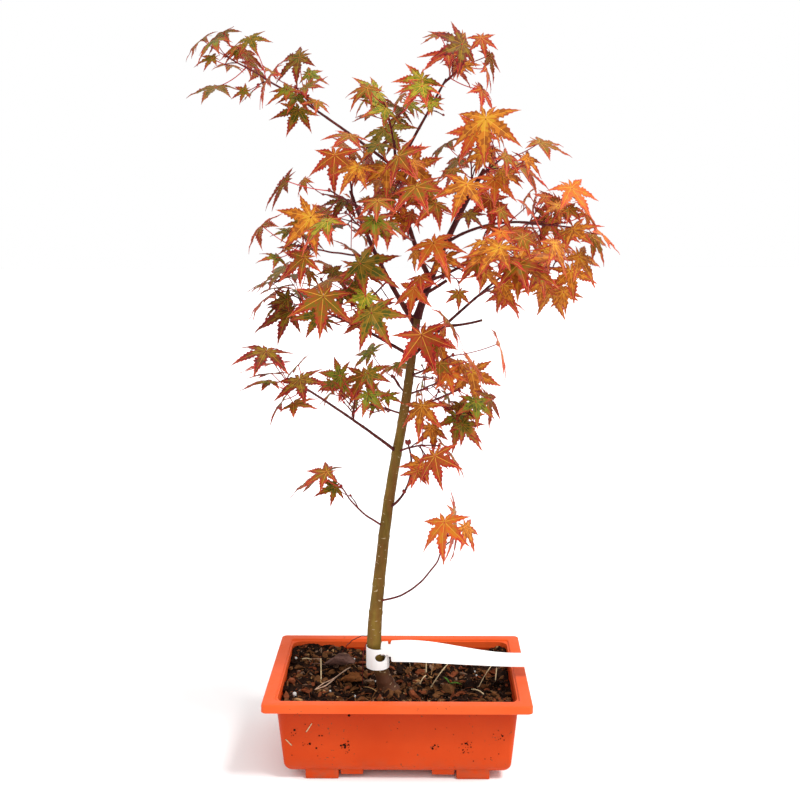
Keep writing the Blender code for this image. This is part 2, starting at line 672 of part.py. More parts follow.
def make_blade(leaf):
    """One leaf as a lens: a double cone whose rim is moved out to the lobed outline."""
    outline = blade_outline()
    count = len(outline)
    bm = bmesh.new()
    bmesh.ops.create_cone(bm, cap_ends=True, cap_tris=True, segments=count, radius1=1, radius2=0, depth=1)
    bmesh.ops.remove_doubles(bm, verts=bm.verts, dist=WELD)
    for vert in bm.verts:
        if math.hypot(vert.co.x, vert.co.y) < WELD:
            vert.co = leaf.hub + leaf.face * math.copysign(LEAF_THICKNESS / 2, vert.co.z)
        else:
            spot = round(math.atan2(vert.co.y, vert.co.x) / (2 * math.pi) * count) % count
            vert.co = blade_point(leaf, *outline[spot])
    return new_object("blade", bm)


def make_stalk(leaf):
    """The leaf's stalk, from the heart of its node to a little way inside the blade."""
    end = leaf.hub + leaf.middle * STALK_IN_BLADE
    return tube("stalk", [leaf.node, end], [STALK_RADIUS, STALK_RADIUS], TWIG_SIDES)


def grow_leaves(spray, stem, space):
    """The leaves of one stem: each place tries a few poses and bears a leaf if one of them has room."""
    rng = random.Random(f"{spray.name} {SEED}")
    leaves, blades = [], []
    for place in range(spray.leaves):
        for _ in range(TRIES):
            leaf = grow_leaf(spray, stem, place, rng)
            stalk, blade = leaf_guard(leaf)
            whole = np.vstack((stalk, blade))
            beside = [np.linalg.norm(blade[:, None] - other[None], axis=2).min() for other in blades]
            if min(beside, default=1.0) > SIBLING_CLEARANCE and space.is_free(spray.name, stem[0], whole):
                leaves.append(leaf)
                blades.append(blade)
                space.take(spray.name, whole, 0.0)
                break
    return leaves


def grow_sprays(grown, space):
    """All masses of foliage: first every stem takes its room, then the leaves that still find room grow."""
    stems = {}
    for spray in SPRAYS:
        parent, _ = grown[spray.parent]
        foot, _ = along_path(parent, spray.share)
        path = swept_path(foot, spray.heading, spray.pitch, spray.length, spray.arch, 0, STEM_STEPS)
        stems[spray.name] = path
        space.take(spray.name, samples(path, STEM_SAMPLES), 0.0)
    masses = []
    for spray in SPRAYS:
        path = stems[spray.name]
        leaves = grow_leaves(spray, path, space)
        radii = [TWIG_FOOT + (TWIG_TIP - TWIG_FOOT) * step / STEM_STEPS for step in range(STEM_STEPS + 1)]
        mass = tube(spray.name, path, radii, TWIG_SIDES)
        carve(mass, path, radii[0], grown)
        combine(mass, [make(leaf) for leaf in leaves for make in (make_stalk, make_blade)], "UNION")
        keep_largest_piece(mass)
        masses.append((mass, "leaf_" + spray.tint))
    return masses


def main():
    clear_scene()
    materials = {name: make_material(name) for name in COLOURS}
    plant = bpy.data.objects.new("plant", None)
    plant.location = (*POT_CENTRE, 0)
    bpy.context.scene.collection.objects.link(plant)
    parts = bpy.data.collections.new("maple_bonsai")
    bpy.context.scene.collection.children.link(parts)

    grown, space = {}, Space()
    made = [(make_pot(), "pot_plastic"), (make_soil(), "soil"), (make_label(), "label_plastic")]
    made.append((make_trunk(grown, space), "trunk_bark"))
    made += [(make_limb(limb, grown, space), "bough_bark") for limb in LIMBS]
    made += grow_sprays(grown, space)
    for obj, slot in made:
        obj.data.materials.clear()
        obj.data.materials.append(materials[slot])
        obj.parent = plant
        for home in list(obj.users_collection):
            home.objects.unlink(obj)
        parts.objects.link(obj)


main()
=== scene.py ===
"""The look of a young Japanese maple trained as a bonsai, in a shallow plastic pot, with a blank label.

The trunk, boughs and masses of foliage grow again by the same rule and the same draws as the part's solids,
and are carried on to bark with relief, finer twigs, curved stalks and toothed leaves. All sizes are metres,
the front faces -Y, and every place is given from the pot's centre, which lies at POT_CENTRE in plan.
"""

import json
import math
import random
from collections import namedtuple

import bmesh
import bpy
import numpy as np
from mathutils import Matrix, Vector, noise

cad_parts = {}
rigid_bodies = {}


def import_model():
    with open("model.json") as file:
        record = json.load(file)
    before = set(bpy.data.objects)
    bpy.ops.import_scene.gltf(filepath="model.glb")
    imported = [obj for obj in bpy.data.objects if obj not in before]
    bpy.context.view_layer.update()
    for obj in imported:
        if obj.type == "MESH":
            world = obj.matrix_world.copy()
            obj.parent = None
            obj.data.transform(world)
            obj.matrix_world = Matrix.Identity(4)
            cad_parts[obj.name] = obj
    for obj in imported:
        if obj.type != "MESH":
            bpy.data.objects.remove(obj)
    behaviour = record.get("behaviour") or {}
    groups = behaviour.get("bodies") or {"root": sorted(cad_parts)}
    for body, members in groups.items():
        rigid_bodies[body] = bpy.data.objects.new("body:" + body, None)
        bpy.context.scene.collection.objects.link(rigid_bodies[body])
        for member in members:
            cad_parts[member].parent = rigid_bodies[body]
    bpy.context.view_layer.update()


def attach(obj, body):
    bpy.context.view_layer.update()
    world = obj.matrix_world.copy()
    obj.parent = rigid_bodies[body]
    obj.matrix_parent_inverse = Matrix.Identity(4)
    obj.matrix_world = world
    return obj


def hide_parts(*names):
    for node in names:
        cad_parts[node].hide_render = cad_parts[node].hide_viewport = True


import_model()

POT_CENTRE = (0.0000, 0.0005)

# Camera
CAMERA_PLACE = (0.0176, -0.8698, 0.4350)
CAMERA_TURN = 1.03
CAMERA_TILT = 79.98
CAMERA_ROLL = -0.20
CAMERA_LENS = 52.4

# Pot
POT_WIDTH = 0.200
POT_DEPTH = 0.140
POT_HEIGHT = 0.066
RIM_BAND = 0.0063
RIM_TOP_WIDTH = 0.0094
RIM_CORNER = 0.0035
MOUTH_CORNER = 0.0030
PLASTIC = 0.0017
RIM_SOFTNESS = 0.0012
BODY_INSET_TOP = 0.0088
BODY_INSET_BASE = 0.0142
BODY_BASE = 0.0050
BODY_CORNER = 0.0080
BASE_CORNER = 0.0025
BASE_ROUNDING = 0.0090
CORNER_STEPS = 10
EDGE_STEPS = 4
FOOT_CENTRE = (0.0570, 0.0440)
FOOT_SIZE = (0.0250, 0.0190)
FOOT_ROOT = 0.0095
FOOT_BEVEL = 0.0007
SHARP_EDGE = math.radians(40)
STEP_CENTRE = (0.0345, 0.0470)
STEP_SIZE = (0.0170, 0.0110)
STEP_BASE = 0.0030
INNER_HALF_X = POT_WIDTH / 2 - BODY_INSET_TOP - PLASTIC
INNER_HALF_Y = POT_DEPTH / 2 - BODY_INSET_TOP - PLASTIC

# Soil
SOIL_LEFT = 0.0580
SOIL_RIGHT = 0.0525
PAD_RADIUS = 0.024
PAD_TOP = 0.0560
SOIL_CELLS = (150, 100)
SOIL_DEPTH = 0.014
SOIL_TAPER = 0.97
SOIL_GAP = 0.0006
SOIL_RELIEF = ((70, 0.0022), (190, 0.0015), (520, 0.0008))
CHIPS = 2200
CHIP_LENGTHS = (0.0014, 0.0021, 0.0090)
CHIP_WIDTH = (0.35, 0.80)
CHIP_LOOKS = ("chip_dark",) * 4 + ("chip_red",) * 2 + ("chip_brown",) * 3 + ("chip_grey",)
TAN_CHIPS = 0.03
LARGE_CHIPS = 70
LARGE_CHIP_LENGTH = (0.006, 0.012)
CURLS = 90
CURL_SIZE = (0.0025, 0.0060)
CURL_LOOKS = ("chip_brown", "chip_red", "chip_brown", "chip_dark")
CURL_CELLS = 10
CURL_TURN = 2.4
STRANDS = 110
STRAND_LENGTH = (0.004, 0.016)
STRAND_RADIUS = (0.00010, 0.00026)
STRAND_STEPS = 6
STRAND_GAP = 0.003
STRAND_LOOKS = ("chip_dark", "chip_red", "chip_brown", "chip_brown", "chip_red", "chip_tan")
GRAINS = 6
GRAIN_RADIUS = (0.0005, 0.0009)
STRAW_RADIUS = (0.00032, 0.00050)
STRAW_LOOKS = ("straw", "straw", "chip_tan")

# What lies on the soil, in plan from the pot's centre
Bank = namedtuple("Bank", "x y height reach")
BANKS = (
    Bank(-0.078, 0.056, 0.0040, 0.042),
    Bank(0.088, 0.060, 0.0080, 0.020),
    Bank(-0.009, -0.030, 0.0030, 0.010),
)
GRAIN_SPOTS = ((-0.0786, -0.0357, 0.0017), (-0.0329, -0.0343, 0.0013), (-0.0845, 0.0311, 0.0010))
DRY_LEAF = (-0.0475, 0.0170)
LEAF_SCRAP = (-0.0365, -0.0090)
ROOTLET = ((-0.064, -0.026), (-0.056, -0.018), (-0.049, -0.002), (-0.044, 0.009), (-0.039, 0.014))
SPROUT = (0.0405, -0.0060)
CHUNKS = (
    (-0.0070, -0.0345, 0.014), (0.0385, -0.0200, 0.014),
    (0.0150, -0.0300, 0.010), (0.0560, -0.0090, 0.012),
)
Straw = namedtuple("Straw", "x y heading pitch length")
STRAWS = (
    Straw(0.009, 0.022, -95, 60, 0.008),
    Straw(0.022, 0.014, 90, 70, 0.011),
    Straw(0.026, 0.009, 60, 65, 0.011),
    Straw(0.025, -0.016, 55, 25, 0.030),
    Straw(0.063, -0.010, 55, 30, 0.024),
    Straw(0.057, -0.018, -65, 12, 0.020),
    Straw(0.017, -0.009, 60, 20, 0.010),
    Straw(0.077, 0.005, 80, 40, 0.012),
    Straw(-0.027, -0.016, -52, 8, 0.018),
    Straw(-0.061, -0.004, 95, 20, 0.024),
    Straw(-0.070, 0.030, 200, 15, 0.010),
    Straw(-0.020, 0.045, 120, 25, 0.012),
)

# Dried soil on the pot. Splashes on its front have a middle along the wall, a height, a spread and a number
# of specks, and pale marks have a middle, a height, a run and a rise. Crumbs lie between two heights, and
# have a least radius, a mean growth and a largest radius.
SPLASHES = (
    (-0.0385, 0.0285, 0.0016, 16), (-0.0372, 0.0235, 0.0016, 6), (0.0514, 0.0300, 0.0020, 12),
    (0.0514, 0.0245, 0.0024, 8), (0.0283, 0.0280, 0.0022, 5), (-0.0674, 0.0300, 0.0020, 5),
    (0.0766, 0.0360, 0.0026, 6), (-0.0790, 0.0400, 0.0018, 4),
)
PALE_MARKS = ((-0.0656, 0.0438, 0.0022, 0.0036), (-0.0812, 0.0313, 0.0022, -0.0026))
SPECKS_ON_WALL = 26
WALL_SPANS = (0.080, 0.050, 0.080, 0.050)
CRUMB_HEIGHTS = (0.016, 0.056)
CRUMB_RADII = (0.00022, 0.00020, 0.0011)
PALE_MARK_RADIUS = 0.00042

# Label
LABEL_HEIGHT = 0.0165
LABEL_THICKNESS = 0.0005
LABEL_LOOP_RADIUS = 0.0086
LABEL_LOOP_CENTRE = (-0.0155, -0.0215, 0.0850)
LABEL_SLOT_ANGLE = -72
LABEL_SLOT_SPREAD = 30
LABEL_SLOT_HALF = 0.0032
LABEL_SLOT_RISE = 0.0017
LABEL_TAIL_START = 0.0913
LABEL_TAIL_END = (0.1155, -0.0100, 0.0778)
LABEL_TAIL_LEVEL = 0.10
LABEL_TAIL_FALL = 0.75
LABEL_TAIL_WAVE = 0.0022
LABEL_TAIL_LEAN = 74
LABEL_NECK_ANGLE = -44
LABEL_LOOP_STEPS = 150
LABEL_LOOP_LEVELS = 21
LABEL_TAIL_ROWS = 12

# The tail's outline: a barb inside the ring, a notch, then the strip with its rounded end. Edges are heights
# from the strip's middle, and steps are a start, an end and a number.
LABEL_HEAD = 0.0036
LABEL_HEAD_ROUNDING = 0.0012
LABEL_BARB_END = 0.0020
LABEL_BARB_EDGES = (-0.0030, 0.0030)
LABEL_BARB_DROP = 0.0034
LABEL_NOTCH_END = 0.0040
LABEL_NOTCH_EDGES = (-0.0042, 0.0054)
LABEL_SHOULDER = 0.80
LABEL_SHOULDER_RUN = 0.0008
LABEL_END_ROUNDING = 0.0035
LABEL_END_SHARE = 0.45
LABEL_NECK_STEPS = (-LABEL_HEAD, 0.0090, 36)
LABEL_STRIP_STEPS = (0.0100, -0.0040, 60)
LABEL_END_STEPS = (-0.0038, 0.0, 14)

# Trunk: height above the floor, then place in plan and radius
Station = namedtuple("Station", "height x y radius")
TRUNK = (
    Station(0.0563, -0.008, -0.021, 0.0100),
    Station(0.060, -0.009, -0.021, 0.0076),
    Station(0.067, -0.011, -0.021, 0.0060),
    Station(0.086, -0.017, -0.021, 0.0052),
    Station(0.106, -0.018, -0.020, 0.0055),
    Station(0.137, -0.015, -0.018, 0.0047),
    Station(0.203, -0.007, -0.013, 0.0041),
    Station(0.279, 0.006, -0.007, 0.0036),
    Station(0.344, 0.015, -0.003, 0.0029),
)
TRUNK_SPAN_STEPS = 3
TRUNK_SINK = 0.006
LIMB_STEPS = 7

# Limbs spring from a share of their parent's length. Headings (0 is +X, 90 is +Y) and pitches are in
# degrees; arch and sweep are how far the pitch and the heading swing from foot to tip.
Limb = namedtuple("Limb", "name parent share heading pitch length arch sweep foot_radius tip_radius")
LIMBS = (
    Limb("right_stem", "trunk", 1.0, -15, 65, 0.120, -15, -15, 0.0029, 0.0016),
    Limb("leader", "right_stem", 0.25, 135, 70, 0.110, 25, -20, 0.0020, 0.0010),
    Limb("leader_right", "leader", 0.80, -10, 60, 0.075, -5, -30, 0.0012, 0.0008),
    Limb("outreach", "leader", 0.80, 170, 35, 0.100, -5, -5, 0.0012, 0.0008),
    Limb("left_bough", "trunk", 0.98, 150, 60, 0.115, 10, -25, 0.0021, 0.0012),
    Limb("right_side", "right_stem", 0.25, -40, 25, 0.065, 15, 0, 0.0012, 0.0008),
    Limb("right_lower", "trunk", 0.90, 30, 35, 0.120, -5, -5, 0.0013, 0.0008),
    Limb("left_upper", "trunk", 0.90, 150, 20, 0.100, -10, 0, 0.0013, 0.0008),
    Limb("left_lower", "trunk", 0.65, -140, 35, 0.100, -5, 5, 0.0012, 0.0008),
    Limb("right_upper", "right_stem", 0.50, -5, 10, 0.075, -45, 5, 0.0011, 0.0008),
    Limb("crossing_stub", "left_bough", 0.15, -25, 30, 0.040, 5, 10, 0.0014, 0.0012),
    Limb("pruned_stub", "right_lower", 0.30, -20, 10, 0.030, 15, 5, 0.0011, 0.0009),
    Limb("bare_twig", "trunk", 0.50, -30, 70, 0.060, 80, 10, 0.0010, 0.0007),
)

# Limbs whose sprays count as the upper foliage
UPPER_PARENTS = ("leader_right", "leader", "outreach", "left_bough", "right_stem")

# Each mass of foliage is one spray: a stem with up to a number of leaves, two at each node from its tip
# inwards. Blade is the length of its largest leaf, and hang is how far its leaves point down, in degrees.
Spray = namedtuple("Spray", "name parent share heading pitch length arch leaves blade hang tint")
SPRAYS = (
    Spray("top", "leader_right", 0.95, -20, 40, 0.020, 0, 5, 0.034, 45, "red"),
    Spray("below_top", "leader_right", 0.60, -65, 25, 0.025, 0, 3, 0.036, 40, "green"),
    Spray("crown_left", "leader", 0.95, 110, 60, 0.030, 0, 4, 0.036, 30, "green"),
    Spray("crown_front", "leader", 0.65, -95, 15, 0.025, 0, 3, 0.042, 50, "amber"),
    Spray("crown_inner", "leader", 0.75, -125, 15, 0.025, 0, 4, 0.042, 40, "olive"),
    Spray("outreach_tip", "outreach", 0.95, 175, 30, 0.060, 0, 6, 0.034, 20, "olive"),
    Spray("outreach_mid", "outreach", 0.75, -120, 30, 0.030, 0, 4, 0.038, 25, "olive"),
    Spray("left_high", "left_bough", 0.95, 180, 80, 0.025, 0, 5, 0.040, 40, "red"),
    Spray("left_side", "left_bough", 0.90, -115, 15, 0.040, 0, 6, 0.040, 35, "red"),
    Spray("green_inner", "left_bough", 0.75, -90, 15, 0.055, 0, 4, 0.036, 50, "green"),
    Spray("left_reach", "left_bough", 0.50, -160, 10, 0.065, 0, 4, 0.036, 15, "olive"),
    Spray("left_mid_tip", "left_upper", 0.95, 130, 15, 0.030, 0, 6, 0.042, 20, "olive"),
    Spray("left_mid_back", "left_upper", 0.65, 120, 35, 0.050, 0, 5, 0.038, 25, "olive"),
    Spray("left_mid_near", "left_upper", 0.20, -160, 50, 0.055, 0, 5, 0.038, 25, "olive"),
    Spray("left_low_tip", "left_lower", 0.95, -150, 25, 0.020, 0, 6, 0.036, 20, "olive"),
    Spray("left_low_inner", "left_lower", 0.50, 80, 70, 0.015, 0, 3, 0.030, 20, "green"),
    Spray("right_high", "right_stem", 0.95, -50, 30, 0.025, 0, 5, 0.040, 45, "amber"),
    Spray("right_high_back", "right_stem", 0.85, 90, 45, 0.030, 0, 4, 0.040, 40, "olive"),
    Spray("inner_right", "right_stem", 0.65, -95, 35, 0.025, 0, 4, 0.036, 45, "red"),
    Spray("inner_low", "right_stem", 0.40, -80, -40, 0.020, 0, 3, 0.032, 50, "amber"),
    Spray("right_inner", "right_upper", 0.40, -70, -10, 0.020, 0, 3, 0.036, 45, "red"),
    Spray("right_outer", "right_upper", 0.75, 55, -5, 0.035, 0, 5, 0.042, 45, "amber"),
    Spray("right_far", "right_upper", 0.95, 10, -5, 0.025, 0, 4, 0.038, 45, "amber"),
    Spray("right_front", "right_side", 0.95, -60, 0, 0.030, 0, 4, 0.042, 45, "amber"),
    Spray("right_low_tip", "right_lower", 0.95, 15, -5, 0.035, 0, 4, 0.038, 60, "amber"),
    Spray("right_low_inner", "right_lower", 0.60, -50, 25, 0.025, 0, 2, 0.032, 40, "amber"),
    Spray("right_low_back", "right_lower", 0.85, 60, 15, 0.045, 0, 3, 0.040, 40, "red"),
    Spray("centre_high", "leader", 0.30, -100, 5, 0.035, 0, 3, 0.036, 45, "red"),
    Spray("centre_green", "left_bough", 0.35, -120, -25, 0.040, 0, 3, 0.036, 55, "green"),
    Spray("centre_front", "trunk", 0.95, -85, 20, 0.035, 0, 4, 0.042, 60, "amber"),
    Spray("centre_right", "trunk", 0.85, -40, 25, 0.045, 10, 4, 0.038, 55, "amber"),
    Spray("centre_back", "trunk", 0.80, 50, 10, 0.055, 10, 3, 0.038, 55, "amber"),
    Spray("low_right", "trunk", 0.75, -5, 25, 0.045, 0, 4, 0.038, 60, "olive"),
    Spray("low_right_front", "trunk", 0.65, -45, 15, 0.045, -20, 4, 0.040, 55, "amber"),
    Spray("low_left", "trunk", 0.75, 170, 15, 0.030, 0, 3, 0.034, 30, "olive"),
    Spray("low_left_back", "trunk", 0.80, 110, 15, 0.035, 0, 2, 0.034, 25, "green"),
    Spray("low_single_left", "trunk", 0.45, -155, 45, 0.050, 30, 2, 0.040, 15, "olive"),
    Spray("low_single_right", "trunk", 0.25, -30, 45, 0.090, 60, 2, 0.050, 65, "amber"),
    Spray("back_high", "leader", 0.60, 90, 25, 0.055, 0, 5, 0.038, 30, "olive"),
    Spray("back_left", "left_bough", 0.70, 110, 15, 0.055, 0, 4, 0.040, 30, "olive"),
    Spray("back_right", "right_stem", 0.75, 65, 25, 0.070, 0, 4, 0.038, 35, "red"),
    Spray("back_low", "trunk", 0.85, 75, -10, 0.070, 0, 3, 0.038, 45, "olive"),
)

# Colours of what has a woody grain, in linear light
CHIP_COLOURS = {
    "chip_dark": (0.018, 0.007, 0.004),
    "chip_brown": (0.170, 0.068, 0.024),
    "chip_red": (0.220, 0.058, 0.022),
    "chip_grey": (0.260, 0.150, 0.095),
    "chip_tan": (0.440, 0.240, 0.100),
    "straw": (0.760, 0.580, 0.340),
    "perlite": (0.800, 0.780, 0.740),
    "cut_wood": (0.420, 0.300, 0.190),
    "dry_leaf": (0.190, 0.100, 0.080),
    "dry_leaf_red": (0.300, 0.110, 0.035),
    "rootlet": (0.620, 0.400, 0.280),
}

# The rule of growth, as in the part's solids
SEED = 1
TRIES = 16
STEM_STEPS = 4
NODE_SPACING = 0.017
STALK = 0.027
FIRST_NODE = 0.3
TURN_SWING = 50
SPREAD = (30, 80)
STALK_SHARE = (0.5, 1.3)
BLADE_SHARE = (0.7, 1.0)
HANG_SWING = 25
TWIST_SWING = 60
DROOP = (0.02, 0.28)
TILT_SWING = 0.4
UP = np.array((0.0, 0.0, 1.0))
TO_LIGHT = np.array((0.15, -0.95, 0.25))
LIFT = UP * 0.25
SKY = UP * 0.8 + TO_LIGHT * 0.6
FACE_OUTWARD = np.array((0.5, 0.5, 0.0))
LOBES = ((0, 1.00), (50, 0.90), (-50, 0.90), (98, 0.68), (-98, 0.68), (142, 0.34), (-142, 0.34))
LARGE_LOBES = LOBES[:5]
SHOULDER_ANGLE = 14
SHOULDER_REACH = 0.50
LEAF_CLEARANCE = 0.0058
SIBLING_CLEARANCE = 0.0050
FOOT_CLEARANCE = 0.006
STALK_GUARDS = (0.2, 0.4, 0.6, 0.8)
BLADE_GUARDS = 6
LIMB_SAMPLES = 60
TRUNK_GUARD = 0.005
STEM_SAMPLES = 12
WELD = 0.000001

Leaf = namedtuple("Leaf", "node hub middle side face length droop")

# Finer growth: short side twigs with small leaves or buds
TWIGLETS = (3, 6)
TWIGLET_LENGTH = (0.006, 0.016)
TWIGLET_BLADE = (0.45, 0.80)
TWIGLET_TRIES = 12
TWIGLET_MARGIN = 0.002
TWIGLET_ZONE = (0.25, 0.92)
TWIGLET_STALK = 0.6
TWIGLET_LEAN = 0.7
TWIGLET_BOW = 0.0006
FAR_AWAY = np.array((9.0, 9.0, 9.0))
SMALL_CLEARANCE = 0.0022
GROWN_BLADE = (0.70, 0.97)
LEAF_ROLL = 22
TWIGLET_RADIUS = 0.00045
STEM_RADII = (0.00085, 0.00055)
STALK_RADIUS = 0.00036
STALK_SAG = 0.10
STALK_STEPS = 9
STALK_LOOKS = ("stalk", "stalk", "stalk_dark")
TWIG_SPACING = 0.0016
TWIG_WAVER = 0.0006
TWIG_SWELL = 0.40
BUD_SHAPE = ((0.0, 0.28), (0.2, 0.42), (0.5, 0.40), (0.8, 0.22), (1.0, 0.04))
END_BUD = 0.0042
SIDE_BUD = 0.0030
STEM_BUD = 0.0026
TWIGLET_BUD = 0.0022
BARE_TWIG_NODES = (0.35, 0.7)

# Bark: how far it swells, wanders and roughens. Roots have a heading, a length and a width, and two thin
# runners lead from the trunk to the soil.
Finish = namedtuple("Finish", "look sides spacing node_every relief")
TRUNK_FINISH = Finish("trunk", 48, 0.0011, 0.030, 0.00022)
ROOT_FINISH = Finish("trunk", 20, 0.0011, 0.020, 0.00055)
BOUGH_FINISH = Finish("bough", 20, 0.0012, 0.020, 0.00012)
COLLAR = 0.35
COLLAR_REACH = 0.004
NODE_SWELL = 0.05
SCAR_REACH = 0.0016
BARK_WANDER = 1.2
RIDGES = (420, 60)
GRAIN = (900, 700)
BARK_FOOT = 0.076
FOOT_COARSENESS = 3.0
ROOTS = ((-50, 0.013, 0.0038), (150, 0.012, 0.0034))
RUNNERS = (
    ((-0.0225, -0.018, 0.100), (-0.030, -0.005, 0.094), (-0.040, 0.020, 0.079), (-0.049, 0.048, 0.057)),
    ((-0.0228, -0.021, 0.098), (-0.0262, -0.020, 0.088), (-0.0275, -0.016, 0.070), (-0.028, -0.014, 0.055)),
)
RUNNER_RADIUS = 0.00035

# A leaf's blade, in shares of its length. Teeth are counted for large, middling and small lobes.
TEETH = (7, 5, 3)
SMALL_TEETH = (4, 3, 2)
LOBE_SWING = (-3, 3)
LOBE_SHARE = (0.93, 1.04)
TIP_START = 0.3
FAN = (0.98, 1.12)
LOBE_WIDTH = 0.166
LOBE_PEAK = 0.30
LOBE_TAPER = 1.22
TOOTH_OUT = 0.12
TOOTH_IN = 0.22
NOTCH = 0.28
HEEL_SPLIT = 34
HEEL_NOTCH = 0.07
VEIN_SLANT = 0.55
VEIN_WIDTH = 0.009
COLUMNS = (0.50, 0.84)
RIMS = (0.0, 0.22, 0.58, 1.0)
FOLD = (0.08, 0.32)
LOBE_SAG = 0.20
WAVE = 0.045
RIPPLES = np.array((17, 13))
SHEET = 0.00028

# Leaf colours in display values, with a paler one for their undersides, and ramps of them from the core of a
# leaf to its tips and rim. The tone of a face grows along its lobe and towards the rim, and shifts from leaf
# to leaf and a little from face to face.
TONE_ALONG = 0.68
TONE_RIM = 0.44
TONE_BASE = 0.45
TONE_SHIFT = (-0.12, 0.10)
TONE_SCATTER = 0.035
LEAF_COLOURS = {
    "moss": (86, 86, 16),
    "green": (124, 130, 22),
    "lime": (170, 158, 34),
    "olive": (138, 106, 20),
    "gold": (222, 160, 40),
    "amber": (214, 126, 32),
    "orange": (222, 102, 36),
    "bronze": (170, 90, 26),
    "rust": (180, 68, 30),
    "brown": (114, 62, 16),
    "red": (200, 54, 38),
    "pink": (230, 102, 78),
    "crimson": (148, 36, 28),
    "wine": (98, 24, 20),
    "vein": (246, 174, 66),
    "dull_vein": (190, 134, 44),
}
LEAF_SHADE = 0.78
RAMPS = {
    "amber": ("gold", "amber", "bronze", "amber", "bronze", "rust", "red", "pink"),
    "ember": ("amber", "orange", "amber", "orange", "orange", "red", "pink", "pink"),
    "copper": ("olive", "bronze", "olive", "bronze", "rust", "crimson", "red", "pink"),
    "red": ("bronze", "rust", "bronze", "rust", "red", "crimson", "red", "pink"),
    "dark": ("moss", "brown", "olive", "brown", "crimson", "wine", "crimson", "red"),
    "olive": ("moss", "olive", "moss", "olive", "bronze", "crimson", "crimson", "red"),
    "green": ("green", "lime", "green", "lime", "olive", "rust", "red", "pink"),
    "moss": ("green", "moss", "green", "olive", "bronze", "rust", "crimson", "pink"),
}
TINT_RAMPS = {
    "amber": ("amber", "amber", "copper", "copper", "ember", "red", "amber"),
    "red": ("red", "copper", "copper", "amber", "dark", "red"),
    "olive": ("olive", "moss", "copper", "olive", "dark", "copper"),
    "green": ("green", "moss", "olive", "green", "copper"),
}
PALE_VEINS = ("amber", "ember", "copper", "green", "red")
UNDERSIDE = (180, 126, 75.6)
UNDERSIDE_SHARE = 0.24

# Studio
KEY_LIGHT = (0.50, -0.28, 0.85)
KEY_SPREAD = 16
KEY_STRENGTH = 2.4
FLOOR_REACH = 6.0
FLOOR_DROP = 0.0002


def linear(colour):
    """A display colour of 0 to 255 as linear light."""
    shares = [value / 255 for value in colour]
    return tuple(s / 12.92 if s <= 0.04045 else ((s + 0.055) / 1.055) ** 2.4 for s in shares)


# Materials


class Shader:
    """A material's nodes, added by kind and wired by name."""

    def __init__(self, name, roughness, colour=(0.5, 0.5, 0.5), gloss=0.15):
        self.material = bpy.data.materials.new(name)
        self.material.use_nodes = True
        self.nodes = self.material.node_tree.nodes
        self.links = self.material.node_tree.links
        self.main = self.nodes["Principled BSDF"]
        self.main.inputs["Roughness"].default_value = roughness
        self.main.inputs["Specular IOR Level"].default_value = gloss
        self.main.inputs["Base Color"].default_value = (*colour, 1.0)
        self.place = self.nodes.new("ShaderNodeTexCoord").outputs["Object"]

    def feed(self, socket, value):
        """Gives a socket a value or another node's output."""
        if isinstance(value, bpy.types.NodeSocket):
            self.links.new(value, socket)
        else:
            socket.default_value = value

    def node(self, kind, output, **inputs):
        """The output of a new node. Inputs are given by name, with underscores for spaces."""
        node = self.nodes.new("ShaderNode" + kind)
        for name, value in inputs.items():
            self.feed(node.inputs[name.replace("_", " ")], value)
        return node.outputs[output]

    def noise(self, scale, detail=4.0, roughness=0.55, stretch=(1, 1, 1)):
        vector = self.node("Mapping", "Vector", Vector=self.place, Scale=stretch)
        return self.node("TexNoise", "Fac", Vector=vector, Scale=scale, Detail=detail, Roughness=roughness)

    def height(self):
        return self.node("SeparateXYZ", "Z", Vector=self.place)

    def span(self, value, low, high, start=0.0, stop=1.0):
        """The value mapped from low..high to start..stop and held there."""
        limits = {"From_Min": low, "From_Max": high, "To_Min": start, "To_Max": stop}
        return self.node("MapRange", "Result", Value=value, **limits)

    def times(self, first, second):
        node = self.nodes.new("ShaderNodeMath")
        node.operation = "MULTIPLY"
        self.links.new(first, node.inputs[0])
        self.links.new(second, node.inputs[1])
        return node.outputs["Value"]

    def mix(self, factor, first, second):
        """A blend of two colours, each a plain one or another node's."""
        node = self.nodes.new("ShaderNodeMix")
        node.data_type = "RGBA"
        self.links.new(factor, node.inputs["Factor"])
        for socket, value in zip((node.inputs[6], node.inputs[7]), (first, second)):
            self.feed(socket, (*value, 1.0) if isinstance(value, tuple) else value)
        return node.outputs[2]

    def finish(self, relief, distance, colour=None, roughness=None):
        """The finished material, with its fine relief, and its colour and roughness where they vary."""
        bump = self.node("Bump", "Normal", Height=relief, Distance=distance, Strength=1.0)
        for name, value in (("Normal", bump), ("Base Color", colour), ("Roughness", roughness)):
            if value is not None:
                self.links.new(value, self.main.inputs[name])
        return self.material


